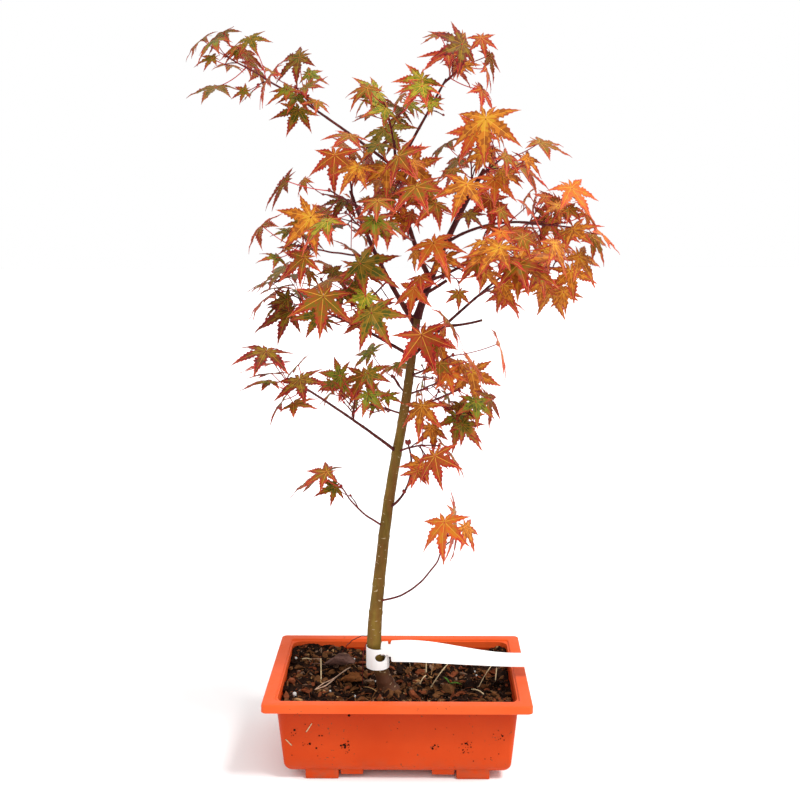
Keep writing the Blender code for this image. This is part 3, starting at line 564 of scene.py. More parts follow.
def pot_material():
    """Orange moulded plastic in patchy tones, lighter on the rim than on the wall, with painted shade on the
    wall under the rim, and specks and smears of dried soil.
    """
    shader = Shader("pot_plastic", 0.42, gloss=0.10)
    faded = shader.span(shader.noise(14, 3), 0.35, 0.70)
    rim = shader.mix(faded, (0.70, 0.086, 0.015), (0.76, 0.108, 0.026))
    wall = shader.mix(faded, (0.51, 0.044, 0.003), (0.60, 0.062, 0.008))
    # Painted shade: the wall darkens towards the rim's overhang, standing in for the shadow the rim casts
    painted_shade_under_rim = shader.span(shader.height(), 0.028, 0.059, 0.0, 0.65)
    wall = shader.mix(painted_shade_under_rim, wall, (0.36, 0.022, 0.002))
    body = shader.mix(shader.span(shader.height(), 0.0597, 0.0592), rim, wall)
    smears = shader.span(shader.noise(45, 5, 0.65), 0.60, 0.80, 0.0, 0.45)
    body = shader.mix(smears, body, (0.38, 0.050, 0.016))
    specks = shader.span(shader.noise(420, 2, 0.4), 0.69, 0.73)
    patches = shader.span(shader.noise(30, 2), 0.50, 0.60)
    dirt = shader.times(specks, patches)
    body = shader.mix(dirt, body, (0.10, 0.045, 0.02))
    low = shader.span(shader.height(), 0.020, 0.002, 0.0, 0.5)
    grime = shader.times(low, shader.span(shader.noise(90, 5, 0.7), 0.40, 0.65))
    body = shader.mix(grime, body, (0.30, 0.10, 0.05))
    worn = shader.span(shader.noise(60, 4), 0.3, 0.7, 0.36, 0.52)
    return shader.finish(shader.noise(900, 2), 0.00005, body, worn)


def soil_material(name, dark, light, scale):
    """Damp crumbs, mottled with near-black painted shade that stands for the gaps between them."""
    shader = Shader(name, 0.95, gloss=0.05)
    # The dark colour is painted shade for the gaps; the light one is the crumbs' own brown
    crumbs = shader.mix(shader.span(shader.noise(scale, 6, 0.7), 0.38, 0.66), dark, light)
    return shader.finish(shader.noise(scale * 2.5, 5, 0.7), 0.0006, crumbs)


def chip_material(name, colour):
    """Bark and wood crumbs with a fibrous grain."""
    shader = Shader(name, 0.85, gloss=0.06)
    grain = shader.span(shader.noise(240, 4, 0.6, (1.0, 1.0, 3.0)), 0.3, 0.7)
    darker = tuple(0.45 * value for value in colour)
    return shader.finish(shader.noise(700, 4, 0.6), 0.0003, shader.mix(grain, darker, colour))


def label_material():
    """White satin plastic, slightly soiled."""
    shader = Shader("label_plastic", 0.38, gloss=0.40)
    soiled = shader.span(shader.noise(55, 5, 0.65), 0.58, 0.85, 0.0, 0.35)
    white = shader.mix(soiled, (0.90, 0.90, 0.88), (0.72, 0.66, 0.55))
    worn = shader.span(shader.noise(120, 3), 0.3, 0.7, 0.30, 0.46)
    return shader.finish(shader.noise(300, 2), 0.00003, white, worn)


def trunk_material():
    """Smooth olive bark, browner at the foot and towards the fork, with pale pores in short rows."""
    shader = Shader("trunk_bark", 0.62, gloss=0.12)
    mottle = shader.span(shader.noise(70, 5, 0.6, (1.0, 1.0, 0.35)), 0.35, 0.65)
    bark = shader.mix(mottle, (0.100, 0.058, 0.008), (0.225, 0.138, 0.024))
    streaks = shader.span(shader.noise(160, 4, 0.6, (1.0, 1.0, 0.12)), 0.45, 0.66, 0.0, 0.7)
    bark = shader.mix(streaks, bark, (0.175, 0.066, 0.016))
    foot = shader.span(shader.height(), 0.086, 0.070)
    bark = shader.mix(foot, bark, (0.075, 0.028, 0.013))
    fork = shader.span(shader.height(), 0.27, 0.36, 0.0, 0.75)
    bark = shader.mix(fork, bark, (0.085, 0.034, 0.014))
    pores = shader.span(shader.noise(330, 1, 0.3, (1.0, 1.0, 2.4)), 0.70, 0.74, 0.0, 0.7)
    bark = shader.mix(pores, bark, (0.50, 0.38, 0.22))
    worn = shader.span(shader.noise(110, 4), 0.3, 0.7, 0.50, 0.75)
    return shader.finish(shader.noise(420, 5, 0.6, (1.0, 1.0, 0.4)), 0.00025, bark, worn)


def bough_material(name, dark, light):
    """Smooth maroon bark with fine lengthwise streaks."""
    shader = Shader(name, 0.50, gloss=0.12)
    streaks = shader.span(shader.noise(190, 4, 0.6, (1.0, 1.0, 0.3)), 0.35, 0.68)
    worn = shader.span(shader.noise(150, 3), 0.3, 0.7, 0.42, 0.62)
    return shader.finish(shader.noise(600, 4, 0.6), 0.00015, shader.mix(streaks, dark, light), worn)


def plain_material(name, colour, roughness):
    """One colour with fine relief."""
    shader = Shader(name, roughness, colour)
    return shader.finish(shader.noise(1100, 3), 0.00008)


# Meshes


class Batch:
    """Vertices and faces gathered for one piece, each face with the name of its material."""

    def __init__(self):
        self.verts = []
        self.faces = []
        self.looks = []

    def add(self, verts, faces, looks):
        start = len(self.verts)
        self.verts.extend(map(tuple, verts))
        self.faces.extend(tuple(start + corner for corner in face) for face in faces)
        self.looks.extend([looks] * len(faces) if isinstance(looks, str) else looks)


def finish_piece(obj, nodes):
    """A piece in its place, riding on the plant and standing for its nodes."""
    obj.location = (*POT_CENTRE, 0.0)
    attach(obj, "root")
    if nodes:
        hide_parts(*nodes)
    return obj


def make_piece(name, batch, nodes=(), smooth=True):
    """One object from a batch, with a material slot for each look in use."""
    used = sorted(set(batch.looks))
    mesh = bpy.data.meshes.new(name)
    mesh.from_pydata(batch.verts, [], batch.faces)
    for look in used:
        mesh.materials.append(MATERIALS[look])
    places = {look: place for place, look in enumerate(used)}
    mesh.polygons.foreach_set("material_index", [places[look] for look in batch.looks])
    mesh.polygons.foreach_set("use_smooth", [smooth] * len(batch.faces))
    mesh.update()
    obj = bpy.data.objects.new(name, mesh)
    bpy.context.scene.collection.objects.link(obj)
    return finish_piece(obj, nodes)


def unit(vector):
    return vector / math.sqrt(vector @ vector)


def spline(before, start, stop, after, t):
    """A point between start and stop on a smooth curve through four values."""
    bend = 2 * before - 5 * start + 4 * stop - after
    twist = 3 * start - before - 3 * stop + after
    return start + 0.5 * ((stop - before) * t + bend * t**2 + twist * t**3)


def smooth_path(points, spacing):
    """A smooth curve through points, with even steps of about the spacing."""
    points = [np.array(point, float) for point in points]
    ends = [2 * points[0] - points[1]] + points + [2 * points[-1] - points[-2]]
    line = []
    for before, start, stop, after in zip(ends, ends[1:], ends[2:], ends[3:]):
        steps = max(1, round(math.dist(start, stop) / spacing))
        line += [spline(before, start, stop, after, step / steps) for step in range(steps)]
    return line + [points[-1]]


def tube(path, radii, sides, relief=None):
    """Vertices and faces of a closed tube, whose rings don't twist. Relief adds to the radius."""
    path = np.array(path)
    runs = np.gradient(path, axis=0)
    runs /= np.linalg.norm(runs, axis=1)[:, None]
    across = unit(np.cross(runs[0], (0.3, 0.9, 0.1)))
    verts, faces = [path[0]], []
    angles = np.linspace(0, 2 * math.pi, sides, endpoint=False)
    for ring, (centre, run, radius) in enumerate(zip(path, runs, radii)):
        across = unit(across - run * (across @ run))
        beside = np.cross(run, across)
        round_about = np.cos(angles)[:, None] * across + np.sin(angles)[:, None] * beside
        reach = np.full(sides, radius)
        if relief is not None:
            reach = reach + np.array([relief(ring, centre + way * radius) for way in round_about])
        verts.extend(centre + round_about * reach[:, None])
        base = 1 + ring * sides
        for side in range(sides):
            beyond = (side + 1) % sides
            if ring == 0:
                faces.append((0, base + beyond, base + side))
            else:
                faces.append((base - sides + side, base - sides + beyond, base + beyond, base + side))
    verts.append(path[-1])
    last, base = len(verts) - 1, 1 + (len(path) - 1) * sides
    faces += [(base + side, base + (side + 1) % sides, last) for side in range(sides)]
    return verts, faces


def grid_faces(rows, columns):
    """Faces of a sheet whose points are given row by row."""
    width = columns + 1
    lows = [row * width + column for row in range(rows) for column in range(columns)]
    return [(low, low + 1, low + width + 1, low + width) for low in lows]


def closed_faces(faces, count):
    """A sheet's upper faces, then its lower ones, whose points are numbered on by a count, then its rim."""
    lower = [tuple(count + corner for corner in reversed(face)) for face in faces]
    edges = {(a, b) for face in faces for a, b in zip(face, face[1:] + face[:1])}
    rim = [(b, a, a + count, b + count) for a, b in sorted(edges) if (b, a) not in edges]
    return list(faces) + lower + rim


def closed_sheet(flat, faces, outward, thickness):
    """A sheet given a thickness along outward vectors."""
    verts = np.vstack((flat + outward * thickness / 2, flat - outward * thickness / 2))
    return verts, closed_faces(faces, len(flat))


# Growth, as in the part's solids


def direction(heading, pitch):
    """Unit vector at a heading (0 is +X, 90 is +Y) and a pitch above level, in degrees."""
    around, above = math.radians(heading), math.radians(pitch)
    level = math.cos(above)
    return np.array((level * math.cos(around), level * math.sin(around), math.sin(above)))


def swept_path(foot, heading, pitch, length, arch, sweep, steps):
    """Points of a limb whose pitch swings by `arch` and whose heading swings by `sweep` along it."""
    points = [np.array(foot, float)]
    for step in range(steps):
        share = (step + 0.5) / steps - 0.5
        run = direction(heading + sweep * share, pitch + arch * share)
        points.append(points[-1] + run * length / steps)
    return points


def along_path(points, share):
    """The point at a share of a path's length, and the path's direction there."""
    lengths = [math.dist(a, b) for a, b in zip(points, points[1:])]
    left = share * sum(lengths)
    span = 0
    while span < len(lengths) - 1 and left > lengths[span]:
        left -= lengths[span]
        span += 1
    run = (points[span + 1] - points[span]) / lengths[span]
    return points[span] + run * left, run


def samples(points, count):
    """Evenly spaced points along a path."""
    return np.array([along_path(points, share)[0] for share in np.linspace(0, 1, count)])


def trunk_line():
    """Points and radii of the trunk, smoothed through its stations."""
    values = [np.array((s.x, s.y, s.height, s.radius)) for s in TRUNK]
    ends = [values[0]] + values + [values[-1]]
    line = []
    for near in zip(ends, ends[1:], ends[2:], ends[3:]):
        line += [spline(*near, step / TRUNK_SPAN_STEPS) for step in range(TRUNK_SPAN_STEPS)]
    line.append(values[-1])
    return [value[:3] for value in line], [value[3] for value in line]


def limb_radii(limb, count):
    return [limb.foot_radius + (limb.tip_radius - limb.foot_radius) * k / (count - 1) for k in range(count)]


def grow_leaf(spray, stem, place, rng):
    """A pose for the leaf at a place: 0 and 1 face each other at the tip, 2 and 3 a node further in."""
    pair, side = divmod(place, 2)
    node, along = along_path(stem, max(1.0 - pair * NODE_SPACING / spray.length, FIRST_NODE))
    across = unit(np.cross(along, UP) + WELD)
    beside = np.cross(across, along)
    turn = math.radians(90 * pair + 180 * side + rng.uniform(-TURN_SWING, TURN_SWING))
    spread = math.radians(rng.uniform(*SPREAD))
    stalk = STALK * rng.uniform(*STALK_SHARE)
    blade = spray.blade * rng.uniform(*BLADE_SHARE)
    hang = spray.hang + rng.uniform(-HANG_SWING, HANG_SWING)
    twist = rng.uniform(-TWIST_SWING, TWIST_SWING)
    droop = rng.uniform(*DROOP)
    tilt = np.array([rng.uniform(-TILT_SWING, TILT_SWING) for _ in range(3)])
    aside = across * math.cos(turn) + beside * math.sin(turn)
    outward = unit(along * math.cos(spread) + aside * math.sin(spread) + LIFT)
    middle = direction(math.degrees(math.atan2(outward[1], outward[0])) + twist, -hang)
    sky = SKY + outward * FACE_OUTWARD + tilt
    face = unit(sky - middle * (sky @ middle))
    return Leaf(node, node + outward * stalk, middle, np.cross(face, middle), face, blade, droop)


def blade_point(leaf, angle, reach):
    """A point of the blade at an angle from its middle lobe, in degrees, and a reach in blade lengths."""
    around = math.radians(angle)
    flat = leaf.middle * math.cos(around) + leaf.side * math.sin(around)
    return leaf.hub + (flat * reach - leaf.face * leaf.droop * reach * reach) * leaf.length


def leaf_guard(leaf):
    """Points spread over a leaf's stalk and its blade, to keep other twigs and leaves away from it."""
    stalk = [leaf.node + (leaf.hub - leaf.node) * share for share in STALK_GUARDS]
    blade = [leaf.hub]
    for angle, length in LOBES:
        reaches = [length * (step + 1) / BLADE_GUARDS for step in range(BLADE_GUARDS)]
        blade += [blade_point(leaf, angle, reach) for reach in reaches]
    edge = [blade_point(leaf, angle + side, length * SHOULDER_REACH)
            for angle, length in LARGE_LOBES for side in (-SHOULDER_ANGLE, SHOULDER_ANGLE)]
    return np.array(stalk), np.array(blade + edge)


class Space:
    """What already takes up room: points with a radius, and the name of what they belong to."""

    def __init__(self):
        self.points = np.empty((0, 4))
        self.owners = np.empty(0, object)

    def take(self, owner, points, radius):
        points = np.array(points)
        self.points = np.vstack((self.points, np.column_stack((points, np.full(len(points), radius)))))
        self.owners = np.concatenate((self.owners, np.full(len(points), owner, object)))

    def is_free(self, owner, foot, points, clearance=LEAF_CLEARANCE):
        """True if points stay clear of everything but their owner and what lies round its foot."""
        others = self.points[(self.owners != owner)
                             & (np.linalg.norm(self.points[:, :3] - foot, axis=1) > FOOT_CLEARANCE)]
        apart = np.linalg.norm(points[:, None] - others[None, :, :3], axis=2) - others[:, 3]
        return apart.min() > clearance

    def forget(self, count):
        """Leaves only the first points."""
        self.points = self.points[:count]
        self.owners = self.owners[:count]


def grow_leaves(spray, stem, space):
    """The leaves of one stem: each place tries a few poses and bears a leaf if one of them has room."""
    rng = random.Random(f"{spray.name} {SEED}")
    leaves, blades = [], []
    for place in range(spray.leaves):
        for _ in range(TRIES):
            leaf = grow_leaf(spray, stem, place, rng)
            stalk, blade = leaf_guard(leaf)
            whole = np.vstack((stalk, blade))
            beside = [np.linalg.norm(blade[:, None] - other[None], axis=2).min() for other in blades]
            if min(beside, default=1.0) > SIBLING_CLEARANCE and space.is_free(spray.name, stem[0], whole):
                leaves.append(leaf)
                blades.append(blade)
                space.take(spray.name, whole, 0.0)
                break
    return leaves, blades


# Leaves


def lobe_margin(length, split, notch, teeth):
    """Points from the hub to the tip along half a lobe's edge: its share of the palm, then its teeth."""
    spot = (math.cos(math.radians(split)), math.sin(math.radians(split)))
    margin = [(notch * share * spot[0], notch * share * spot[1]) for share in (0.5, 1.0)]
    start_x, start_y = margin[-1]
    widest = LOBE_WIDTH * length
    for tooth in range(teeth):
        for beyond, swell in ((0.70, 1 + TOOTH_OUT), (1.0, 1 - TOOTH_IN)):
            share = (tooth + beyond) / (teeth + 0.6)
            if share < LOBE_PEAK:
                width = start_y + (widest - start_y) * math.sin(math.pi / 2 * share / LOBE_PEAK)
            else:
                width = widest * ((1 - share) / (1 - LOBE_PEAK)) ** LOBE_TAPER
            x = start_x + (length - start_x) * share
            margin.append((x, min(width * swell, 0.97 * x * spot[1] / spot[0])))
    return margin


class Blade:
    """A flat blade: points, faces, and for each what the bending and the colours need."""

    def __init__(self, rng, small):
        fan = rng.uniform(*FAN)
        self.teeth = SMALL_TEETH if small else TEETH
        self.columns = COLUMNS[:1] if small else COLUMNS
        self.lobes = sorted((angle * fan + rng.uniform(*LOBE_SWING), length * rng.uniform(*LOBE_SHARE))
                            for angle, length in LOBES)
        self.points, self.folds, self.tips, self.owners = [], [], [], []
        self.faces, self.values = [], []
        self.known = {}
        for index, (angle, length) in enumerate(self.lobes):
            for side in (-1, 1):
                self.half_lobe(index, angle, length, side)

    def spot(self, x, y, angle, side, index, length):
        """The number of a point given along and across a lobe, the same for the lobe beside it."""
        turn = math.radians(angle)
        flat = (x * math.cos(turn) - side * y * math.sin(turn), x * math.sin(turn) + side * y * math.cos(turn))
        key = (round(flat[0], 4), round(flat[1], 4))
        if key not in self.known:
            self.known[key] = len(self.points)
            self.points.append(flat)
            self.folds.append(y)
            self.tips.append(max(0.0, x / length - TIP_START))
            self.owners.append(index)
        return self.known[key]

    def half_lobe(self, index, angle, length, side):
        neighbour = index + side
        if 0 <= neighbour < len(self.lobes):
            split = abs(self.lobes[neighbour][0] - angle) / 2
            notch = NOTCH * min(length, self.lobes[neighbour][1])
        else:
            split, notch = min(HEEL_SPLIT, 176 - abs(angle)), HEEL_NOTCH
        teeth = self.teeth[0 if length > 0.8 else 1 if length > 0.5 else 2]
        width = len(self.columns) + 3
        rows = [[(0.0, 0.0)] * width]
        for x, y in lobe_margin(length, split, notch, teeth):
            root = x - VEIN_SLANT * y
            vein = min(VEIN_WIDTH * (1 - 0.8 * root / length), 0.4 * y)
            edge = (root + VEIN_SLANT * vein, vein)
            row = [(root, 0.0), edge]
            row += [(edge[0] + (x - edge[0]) * out, edge[1] + (y - edge[1]) * out) for out in self.columns]
            rows.append(row + [(x, y)])
        rows.append([(length, 0.0)] * width)
        spots = [[self.spot(x, y, angle, side, index, length) for x, y in row] for row in rows]
        for lower, upper, row, above in zip(spots, spots[1:], rows, rows[1:]):
            for column in range(width - 1):
                corners = [lower[column], upper[column], upper[column + 1], lower[column + 1]]
                face = tuple(dict.fromkeys(corners))
                if len(face) < 3:
                    continue
                self.faces.append(face if side > 0 else face[::-1])
                along = (row[column][0] + above[column + 1][0]) / 2 / length
                tone = TONE_ALONG * along + TONE_RIM * RIMS[column] * (TONE_BASE + along)
                self.values.append(None if column == 0 else tone)


def add_leaf(batch, leaf, tint, rng, small=False):
    """A toothed leaf: its lobes fold along their midribs, sag towards their tips and ripple."""
    blade = Blade(rng, small)
    flat = np.array(blade.points)
    reach = (flat ** 2).sum(axis=1)
    tips = np.array(blade.tips)
    folds = np.array(blade.folds)
    sags = np.array([rng.uniform(-0.3, 1.0) * LOBE_SAG for _ in blade.lobes])[blade.owners]
    phase = rng.uniform(0, 6)
    ripple = WAVE * tips * np.sin(flat @ RIPPLES + phase) * (0.3 + folds * 8)
    lift = rng.uniform(*FOLD) * folds - sags * tips ** 2 + ripple - leaf.droop * reach
    body = leaf.middle * flat[:, :1] + leaf.side * flat[:, 1:] + leaf.face * lift[:, None]
    verts, faces = closed_sheet(leaf.hub + body * leaf.length, blade.faces, leaf.face[None], SHEET)
    ramp_name = rng.choice(TINT_RAMPS[tint])
    ramp = RAMPS[ramp_name]
    vein = "vein" if ramp_name in PALE_VEINS else "dull_vein"
    shift = rng.uniform(*TONE_SHIFT)
    looks = []
    for value in blade.values:
        if value is None:
            looks.append(vein)
        else:
            place = int((value + shift + rng.gauss(0, TONE_SCATTER)) * len(ramp))
            looks.append(ramp[min(max(place, 0), len(ramp) - 1)])
    under = ["pale_" + look for look in looks]
    rims = [ramp[-2]] * (len(faces) - 2 * len(looks))
    batch.add(verts, faces, looks + under + rims)


def add_stalk(batch, leaf, rng):
    """A leaf's thin red stalk, which sags a little and thickens at both ends."""
    run = leaf.hub - leaf.node
    length = math.sqrt(run @ run)
    aside = unit(np.cross(run, UP) + WELD)
    bend = (aside * rng.uniform(-0.08, 0.08) - UP * rng.uniform(0.3, 1.0) * STALK_SAG) * length
    path = [leaf.node + run * t + bend * 4 * t * (1 - t) for t in np.linspace(0, 1, STALK_STEPS)]
    path.append(leaf.hub + leaf.middle * 0.0012)
    radii = [STALK_RADIUS * (1 + 0.7 * abs(2 * t - 1) ** 6) for t in np.linspace(0, 1, len(path))]
    batch.add(*tube(path, radii, 6), rng.choice(STALK_LOOKS))


def add_bud(batch, foot, run, size):
    """A small pointed bud."""
    path = [foot + run * size * share for share, _ in BUD_SHAPE]
    batch.add(*tube(path, [size * width for _, width in BUD_SHAPE], 7), "bud")


def add_stem(batch, path, radii, nodes, rng):
    """A thin twig: it wavers a little and swells at its nodes."""
    line = smooth_path(path, TWIG_SPACING)
    count = len(line)
    total = count - 1
    waver = Vector((rng.uniform(0, 50), rng.uniform(0, 50), 0))
    for k in range(1, count):
        swing = noise.noise_vector(waver + Vector((0, 0, k * 0.16)))
        line[k] = line[k] + np.array(swing) * TWIG_WAVER * min(1.0, k / 6)
    ring_radii = []
    for k in range(count):
        share = k / total
        radius = radii[0] + (radii[1] - radii[0]) * share
        swell = sum(math.exp(-((share - node) * total / 0.9) ** 2) for node in nodes)
        ring_radii.append(radius * (1 + TWIG_SWELL * min(swell, 1.0)))
    batch.add(*tube(line, ring_radii, 8), "twig")
    return line


def grow_twiglets(spray, stem, box, space, rng):
    """Short side twigs near a stem's leaves. Each bears small leaves where they have room, or buds."""
    low, high = box
    pairs = (spray.leaves + 1) // 2
    leafy = max(TWIGLET_ZONE[0], 1.0 - (pairs * NODE_SPACING + 0.008) / spray.length)
    grown = []
    for _ in range(rng.randint(*TWIGLETS) if spray.leaves > 2 else 1):
        foot, along = along_path(stem, rng.uniform(leafy, TWIGLET_ZONE[1]))
        aside = unit(np.cross(along, UP) + WELD)
        turn = rng.uniform(0, 2 * math.pi)
        across = aside * math.cos(turn) + np.cross(aside, along) * math.sin(turn)
        run = unit(along * TWIGLET_LEAN + across + LIFT)
        length = rng.uniform(*TWIGLET_LENGTH)
        tip = foot + run * length
        leaves = []
        small = spray._replace(blade=spray.blade * rng.uniform(*TWIGLET_BLADE), length=length)
        for side in (0, 1):
            for _ in range(TWIGLET_TRIES):
                leaf = grow_leaf(small, [foot, tip], side, rng)
                leaf = leaf._replace(hub=leaf.node + (leaf.hub - leaf.node) * TWIGLET_STALK)
                stalk, blade = leaf_guard(leaf)
                whole = np.vstack((stalk[2:], blade))
                inside = (blade > low - TWIGLET_MARGIN).all() and (blade < high + TWIGLET_MARGIN).all()
                if inside and space.is_free("", FAR_AWAY, whole, SMALL_CLEARANCE):
                    leaves.append(leaf)
                    space.take(spray.name, whole, 0.0)
                    break
        if leaves or not grown:
            grown.append((foot, tip, run, leaves))
    return grown


def resized_leaf(leaf, share, roll):
    """A leaf with a share of its length, rolled about its middle lobe by some degrees."""
    turn = math.radians(roll)
    side = leaf.side * math.cos(turn) + leaf.face * math.sin(turn)
    face = leaf.face * math.cos(turn) - leaf.side * math.sin(turn)
    return leaf._replace(length=leaf.length * share, side=side, face=face)


# Bark


def add_bark(batch, path, radii, finish, rng, collar=0.0):
    """Bark with low relief: pores, lengthwise ridges and ring scars at its nodes. Returns its end and run."""
    joined = smooth_path([np.array((*point, radius)) for point, radius in zip(path, radii)], finish.spacing)
    line = [value[:3] for value in joined]
    widths = [value[3] for value in joined]
    scars, run = [], rng.uniform(0.4, 0.9) * finish.node_every
    total = finish.spacing * (len(line) - 1)
    while run < total - 0.3 * finish.node_every:
        scars.append(run)
        run += finish.node_every * rng.uniform(0.7, 1.2)
    for ring in range(len(line)):
        here = ring * finish.spacing
        near = sum(math.exp(-((here - scar) / SCAR_REACH) ** 2) for scar in scars)
        widths[ring] *= 1 + NODE_SWELL * near
        widths[ring] += collar * math.exp(-here / COLLAR_REACH)
        if 1 < ring < len(line) - 1:
            swing = noise.noise_vector(Vector(line[ring]) * 70)
            line[ring] = line[ring] + np.array(swing) * finish.relief * BARK_WANDER

    def rough(ring, point):
        here = ring * finish.spacing
        x, y, z = point
        coarse = 1 + FOOT_COARSENESS * min(max((BARK_FOOT - z) / 0.015, 0), 1)
        ridges, grain = (noise.noise(Vector((x * across, y * across, z * along)))
                         for across, along in (RIDGES, GRAIN))
        edge = sum(math.exp(-((abs(here - scar) - 0.0009) / 0.00035) ** 2) for scar in scars)
        return finish.relief * (0.55 * coarse * ridges + 0.35 * coarse * grain + 0.8 * edge)

    batch.add(*tube(line, widths, finish.sides, rough), finish.look)
    return line[-1], unit(line[-1] - line[-3])


def add_cut(batch, end, run, radius):
    """The pale, slightly sunken face of a pruning cut, ringed by a lip."""
    lip = ((-0.0004, 1.10), (0.0002, 1.12), (0.0003, 0.90))
    face = ((0.0001, 0.80), (0.00045, 0.78))
    for rings, look in ((lip, "bough"), (face, "cut_wood")):
        path = [end + run * beyond for beyond, _ in rings]
        batch.add(*tube(path, [radius * share for _, share in rings], 16), look)


def make_wood(grown):
    """The trunk with its roots, and the boughs."""
    rng = random.Random("bark")
    trunk = Batch()
    points, radii = grown["trunk"]
    add_bark(trunk, [points[0] - UP * TRUNK_SINK] + points, [radii[0] * 1.1] + radii, TRUNK_FINISH, rng)
    x, y, z = points[0]
    for heading, length, width in ROOTS:
        level = direction(heading, 0)
        foot = np.array((x, y, z + 0.002)) + level * 0.002
        bends = ((0.0, 0.0), (0.45, 0.0022), (0.8, 0.0050), (1.0, 0.0095))
        root = [foot + level * length * share - UP * drop for share, drop in bends]
        add_bark(trunk, root, [width, width * 0.8, width * 0.6, width * 0.3], ROOT_FINISH, rng)
    make_piece("trunk_bark_relief", trunk, ["trunk"])

    boughs = Batch()
    for limb in LIMBS:
        path, radii = grown[limb.name]
        end, run = add_bark(boughs, path, radii, BOUGH_FINISH, rng, limb.foot_radius * COLLAR)
        if limb.name.endswith("stub"):
            add_cut(boughs, end, run, limb.tip_radius)
        if limb.name == "bare_twig":
            for heading in (150, -20):
                add_bud(boughs, end, unit(run + direction(heading, 10) * 0.6), END_BUD)
    for share in BARE_TWIG_NODES:
        foot, run = along_path(grown["bare_twig"][0], share)
        for heading in (120, -60):
            add_bud(boughs, foot, unit(run * 0.8 + direction(heading, 0)), SIDE_BUD)
    for runner in RUNNERS:
        add_stem(boughs, [np.array(point) for point in runner], (RUNNER_RADIUS, RUNNER_RADIUS), (), rng)
    make_piece("boughs_bark_relief", boughs, [limb.name for limb in LIMBS])


def make_foliage(grown, space):
    """All twigs, stalks and leaves, joined by kind."""
    stems = {}
    for spray in SPRAYS:
        foot, _ = along_path(grown[spray.parent][0], spray.share)
        stem = swept_path(foot, spray.heading, spray.pitch, spray.length, spray.arch, 0, STEM_STEPS)
        stems[spray.name] = stem
        space.take(spray.name, samples(stem, STEM_SAMPLES), 0.0)
    wood = len(space.points)
    leaves, boxes = {}, {}
    for spray in SPRAYS:
        leaves[spray.name], blades = grow_leaves(spray, stems[spray.name], space)
        reach = np.vstack(blades)
        boxes[spray.name] = (reach.min(axis=0), reach.max(axis=0))
    space.forget(wood)
    rng = random.Random("sizes")
    for spray in SPRAYS:
        resized = [resized_leaf(leaf, rng.uniform(*GROWN_BLADE), rng.gauss(0, LEAF_ROLL))
                   for leaf in leaves[spray.name]]
        leaves[spray.name] = resized
        for leaf in resized:
            space.take(spray.name, np.vstack(leaf_guard(leaf)), 0.0)

    twigs, stalks = Batch(), Batch()
    foliage = {}
    for spray in SPRAYS:
        rng = random.Random("looks of " + spray.name)
        stem = stems[spray.name]
        pairs = (spray.leaves + 1) // 2
        nodes = [max(1.0 - pair * NODE_SPACING / spray.length, FIRST_NODE) for pair in range(pairs)]
        line = add_stem(twigs, stem, STEM_RADII, nodes, rng)
        tip_run = unit(line[-1] - line[-4])
        for turn in (-1, 1):
            aside = np.cross(tip_run, unit(np.cross(tip_run, UP) + WELD)) * turn
            add_bud(twigs, line[-1], unit(tip_run + aside * 0.5), STEM_BUD)
        level = "upper" if spray.parent in UPPER_PARENTS else "lower"
        batch, names = foliage.setdefault((spray.tint, level), (Batch(), []))
        names.append(spray.name)
        for leaf in leaves[spray.name]:
            add_leaf(batch, leaf, spray.tint, rng)
            add_stalk(stalks, leaf, rng)
        for foot, tip, run, small in grow_twiglets(spray, stem, boxes[spray.name], space, rng):
            path = [foot, (foot + tip) / 2 + UP * TWIGLET_BOW, tip]
            add_stem(twigs, path, (TWIGLET_RADIUS, TWIGLET_RADIUS * 0.8), (0.5, 1.0), rng)
            for leaf in small:
                add_leaf(batch, leaf, spray.tint, rng, small=True)
                add_stalk(stalks, leaf, rng)
            add_bud(twigs, tip, run, TWIGLET_BUD)
    make_piece("twigs", twigs, [spray.name for spray in SPRAYS])
    make_piece("leaf_stalks", stalks)
    for (tint, level), (batch, names) in foliage.items():
        make_piece(f"leaves_{tint}_{level}", batch, names)


# Pot, soil and label


def rounded_ring(inset, height, corner):
    """Points of a rounded rectangle, inset from the rim's outer edge."""
    points = []
    for quarter, (side_x, side_y) in enumerate(((1, 1), (-1, 1), (-1, -1), (1, -1))):
        centre_x = side_x * (POT_WIDTH / 2 - inset - corner)
        centre_y = side_y * (POT_DEPTH / 2 - inset - corner)
        for step in range(CORNER_STEPS + 1):
            angle = math.radians(90 * (quarter + step / CORNER_STEPS))
            points.append((centre_x + corner * math.cos(angle), centre_y + corner * math.sin(angle), height))
    return points


def base_rings(solid_inset):
    """Rings of the body's rounded base, from its flat underside up to the side wall."""
    rounding = BASE_ROUNDING - solid_inset
    rings = []
    for step in range(EDGE_STEPS * 2 + 1):
        angle = math.pi / 2 * step / (EDGE_STEPS * 2)
        inset = BODY_INSET_BASE + BASE_ROUNDING - rounding * math.sin(angle)
        height = BODY_BASE + BASE_ROUNDING - rounding * math.cos(angle)
        rings.append(rounded_ring(inset, height, max(BODY_CORNER - inset / 2, BASE_CORNER)))
    return rings


def quarter_edge(inset, height, inset_step, height_step, corner):
    """Rings round a softened edge, from beside it to above it."""
    rings = []
    for step in range(EDGE_STEPS + 1):
        angle = math.pi / 2 * step / EDGE_STEPS
        out = inset + inset_step * (1 - math.cos(angle))
        rings.append(rounded_ring(out, height + height_step * (math.sin(angle) - 1), corner))
    return rings


def loft_faces(rings):
    """Faces between rings of equal count, closed by a cap at both ends."""
    count = len(rings[0])
    faces = [tuple(reversed(range(count)))]
    for k in range(len(rings) - 1):
        low, high = k * count, (k + 1) * count
        faces += [(low + j, low + (j + 1) % count, high + (j + 1) % count, high + j) for j in range(count)]
    faces.append(tuple((len(rings) - 1) * count + j for j in range(count)))
    return faces


def add_solid(batch, bm, look):
    """Moves a small built-up solid into a batch."""
    batch.add([vert.co for vert in bm.verts], [[vert.index for vert in face.verts] for face in bm.faces], look)
    bm.free()


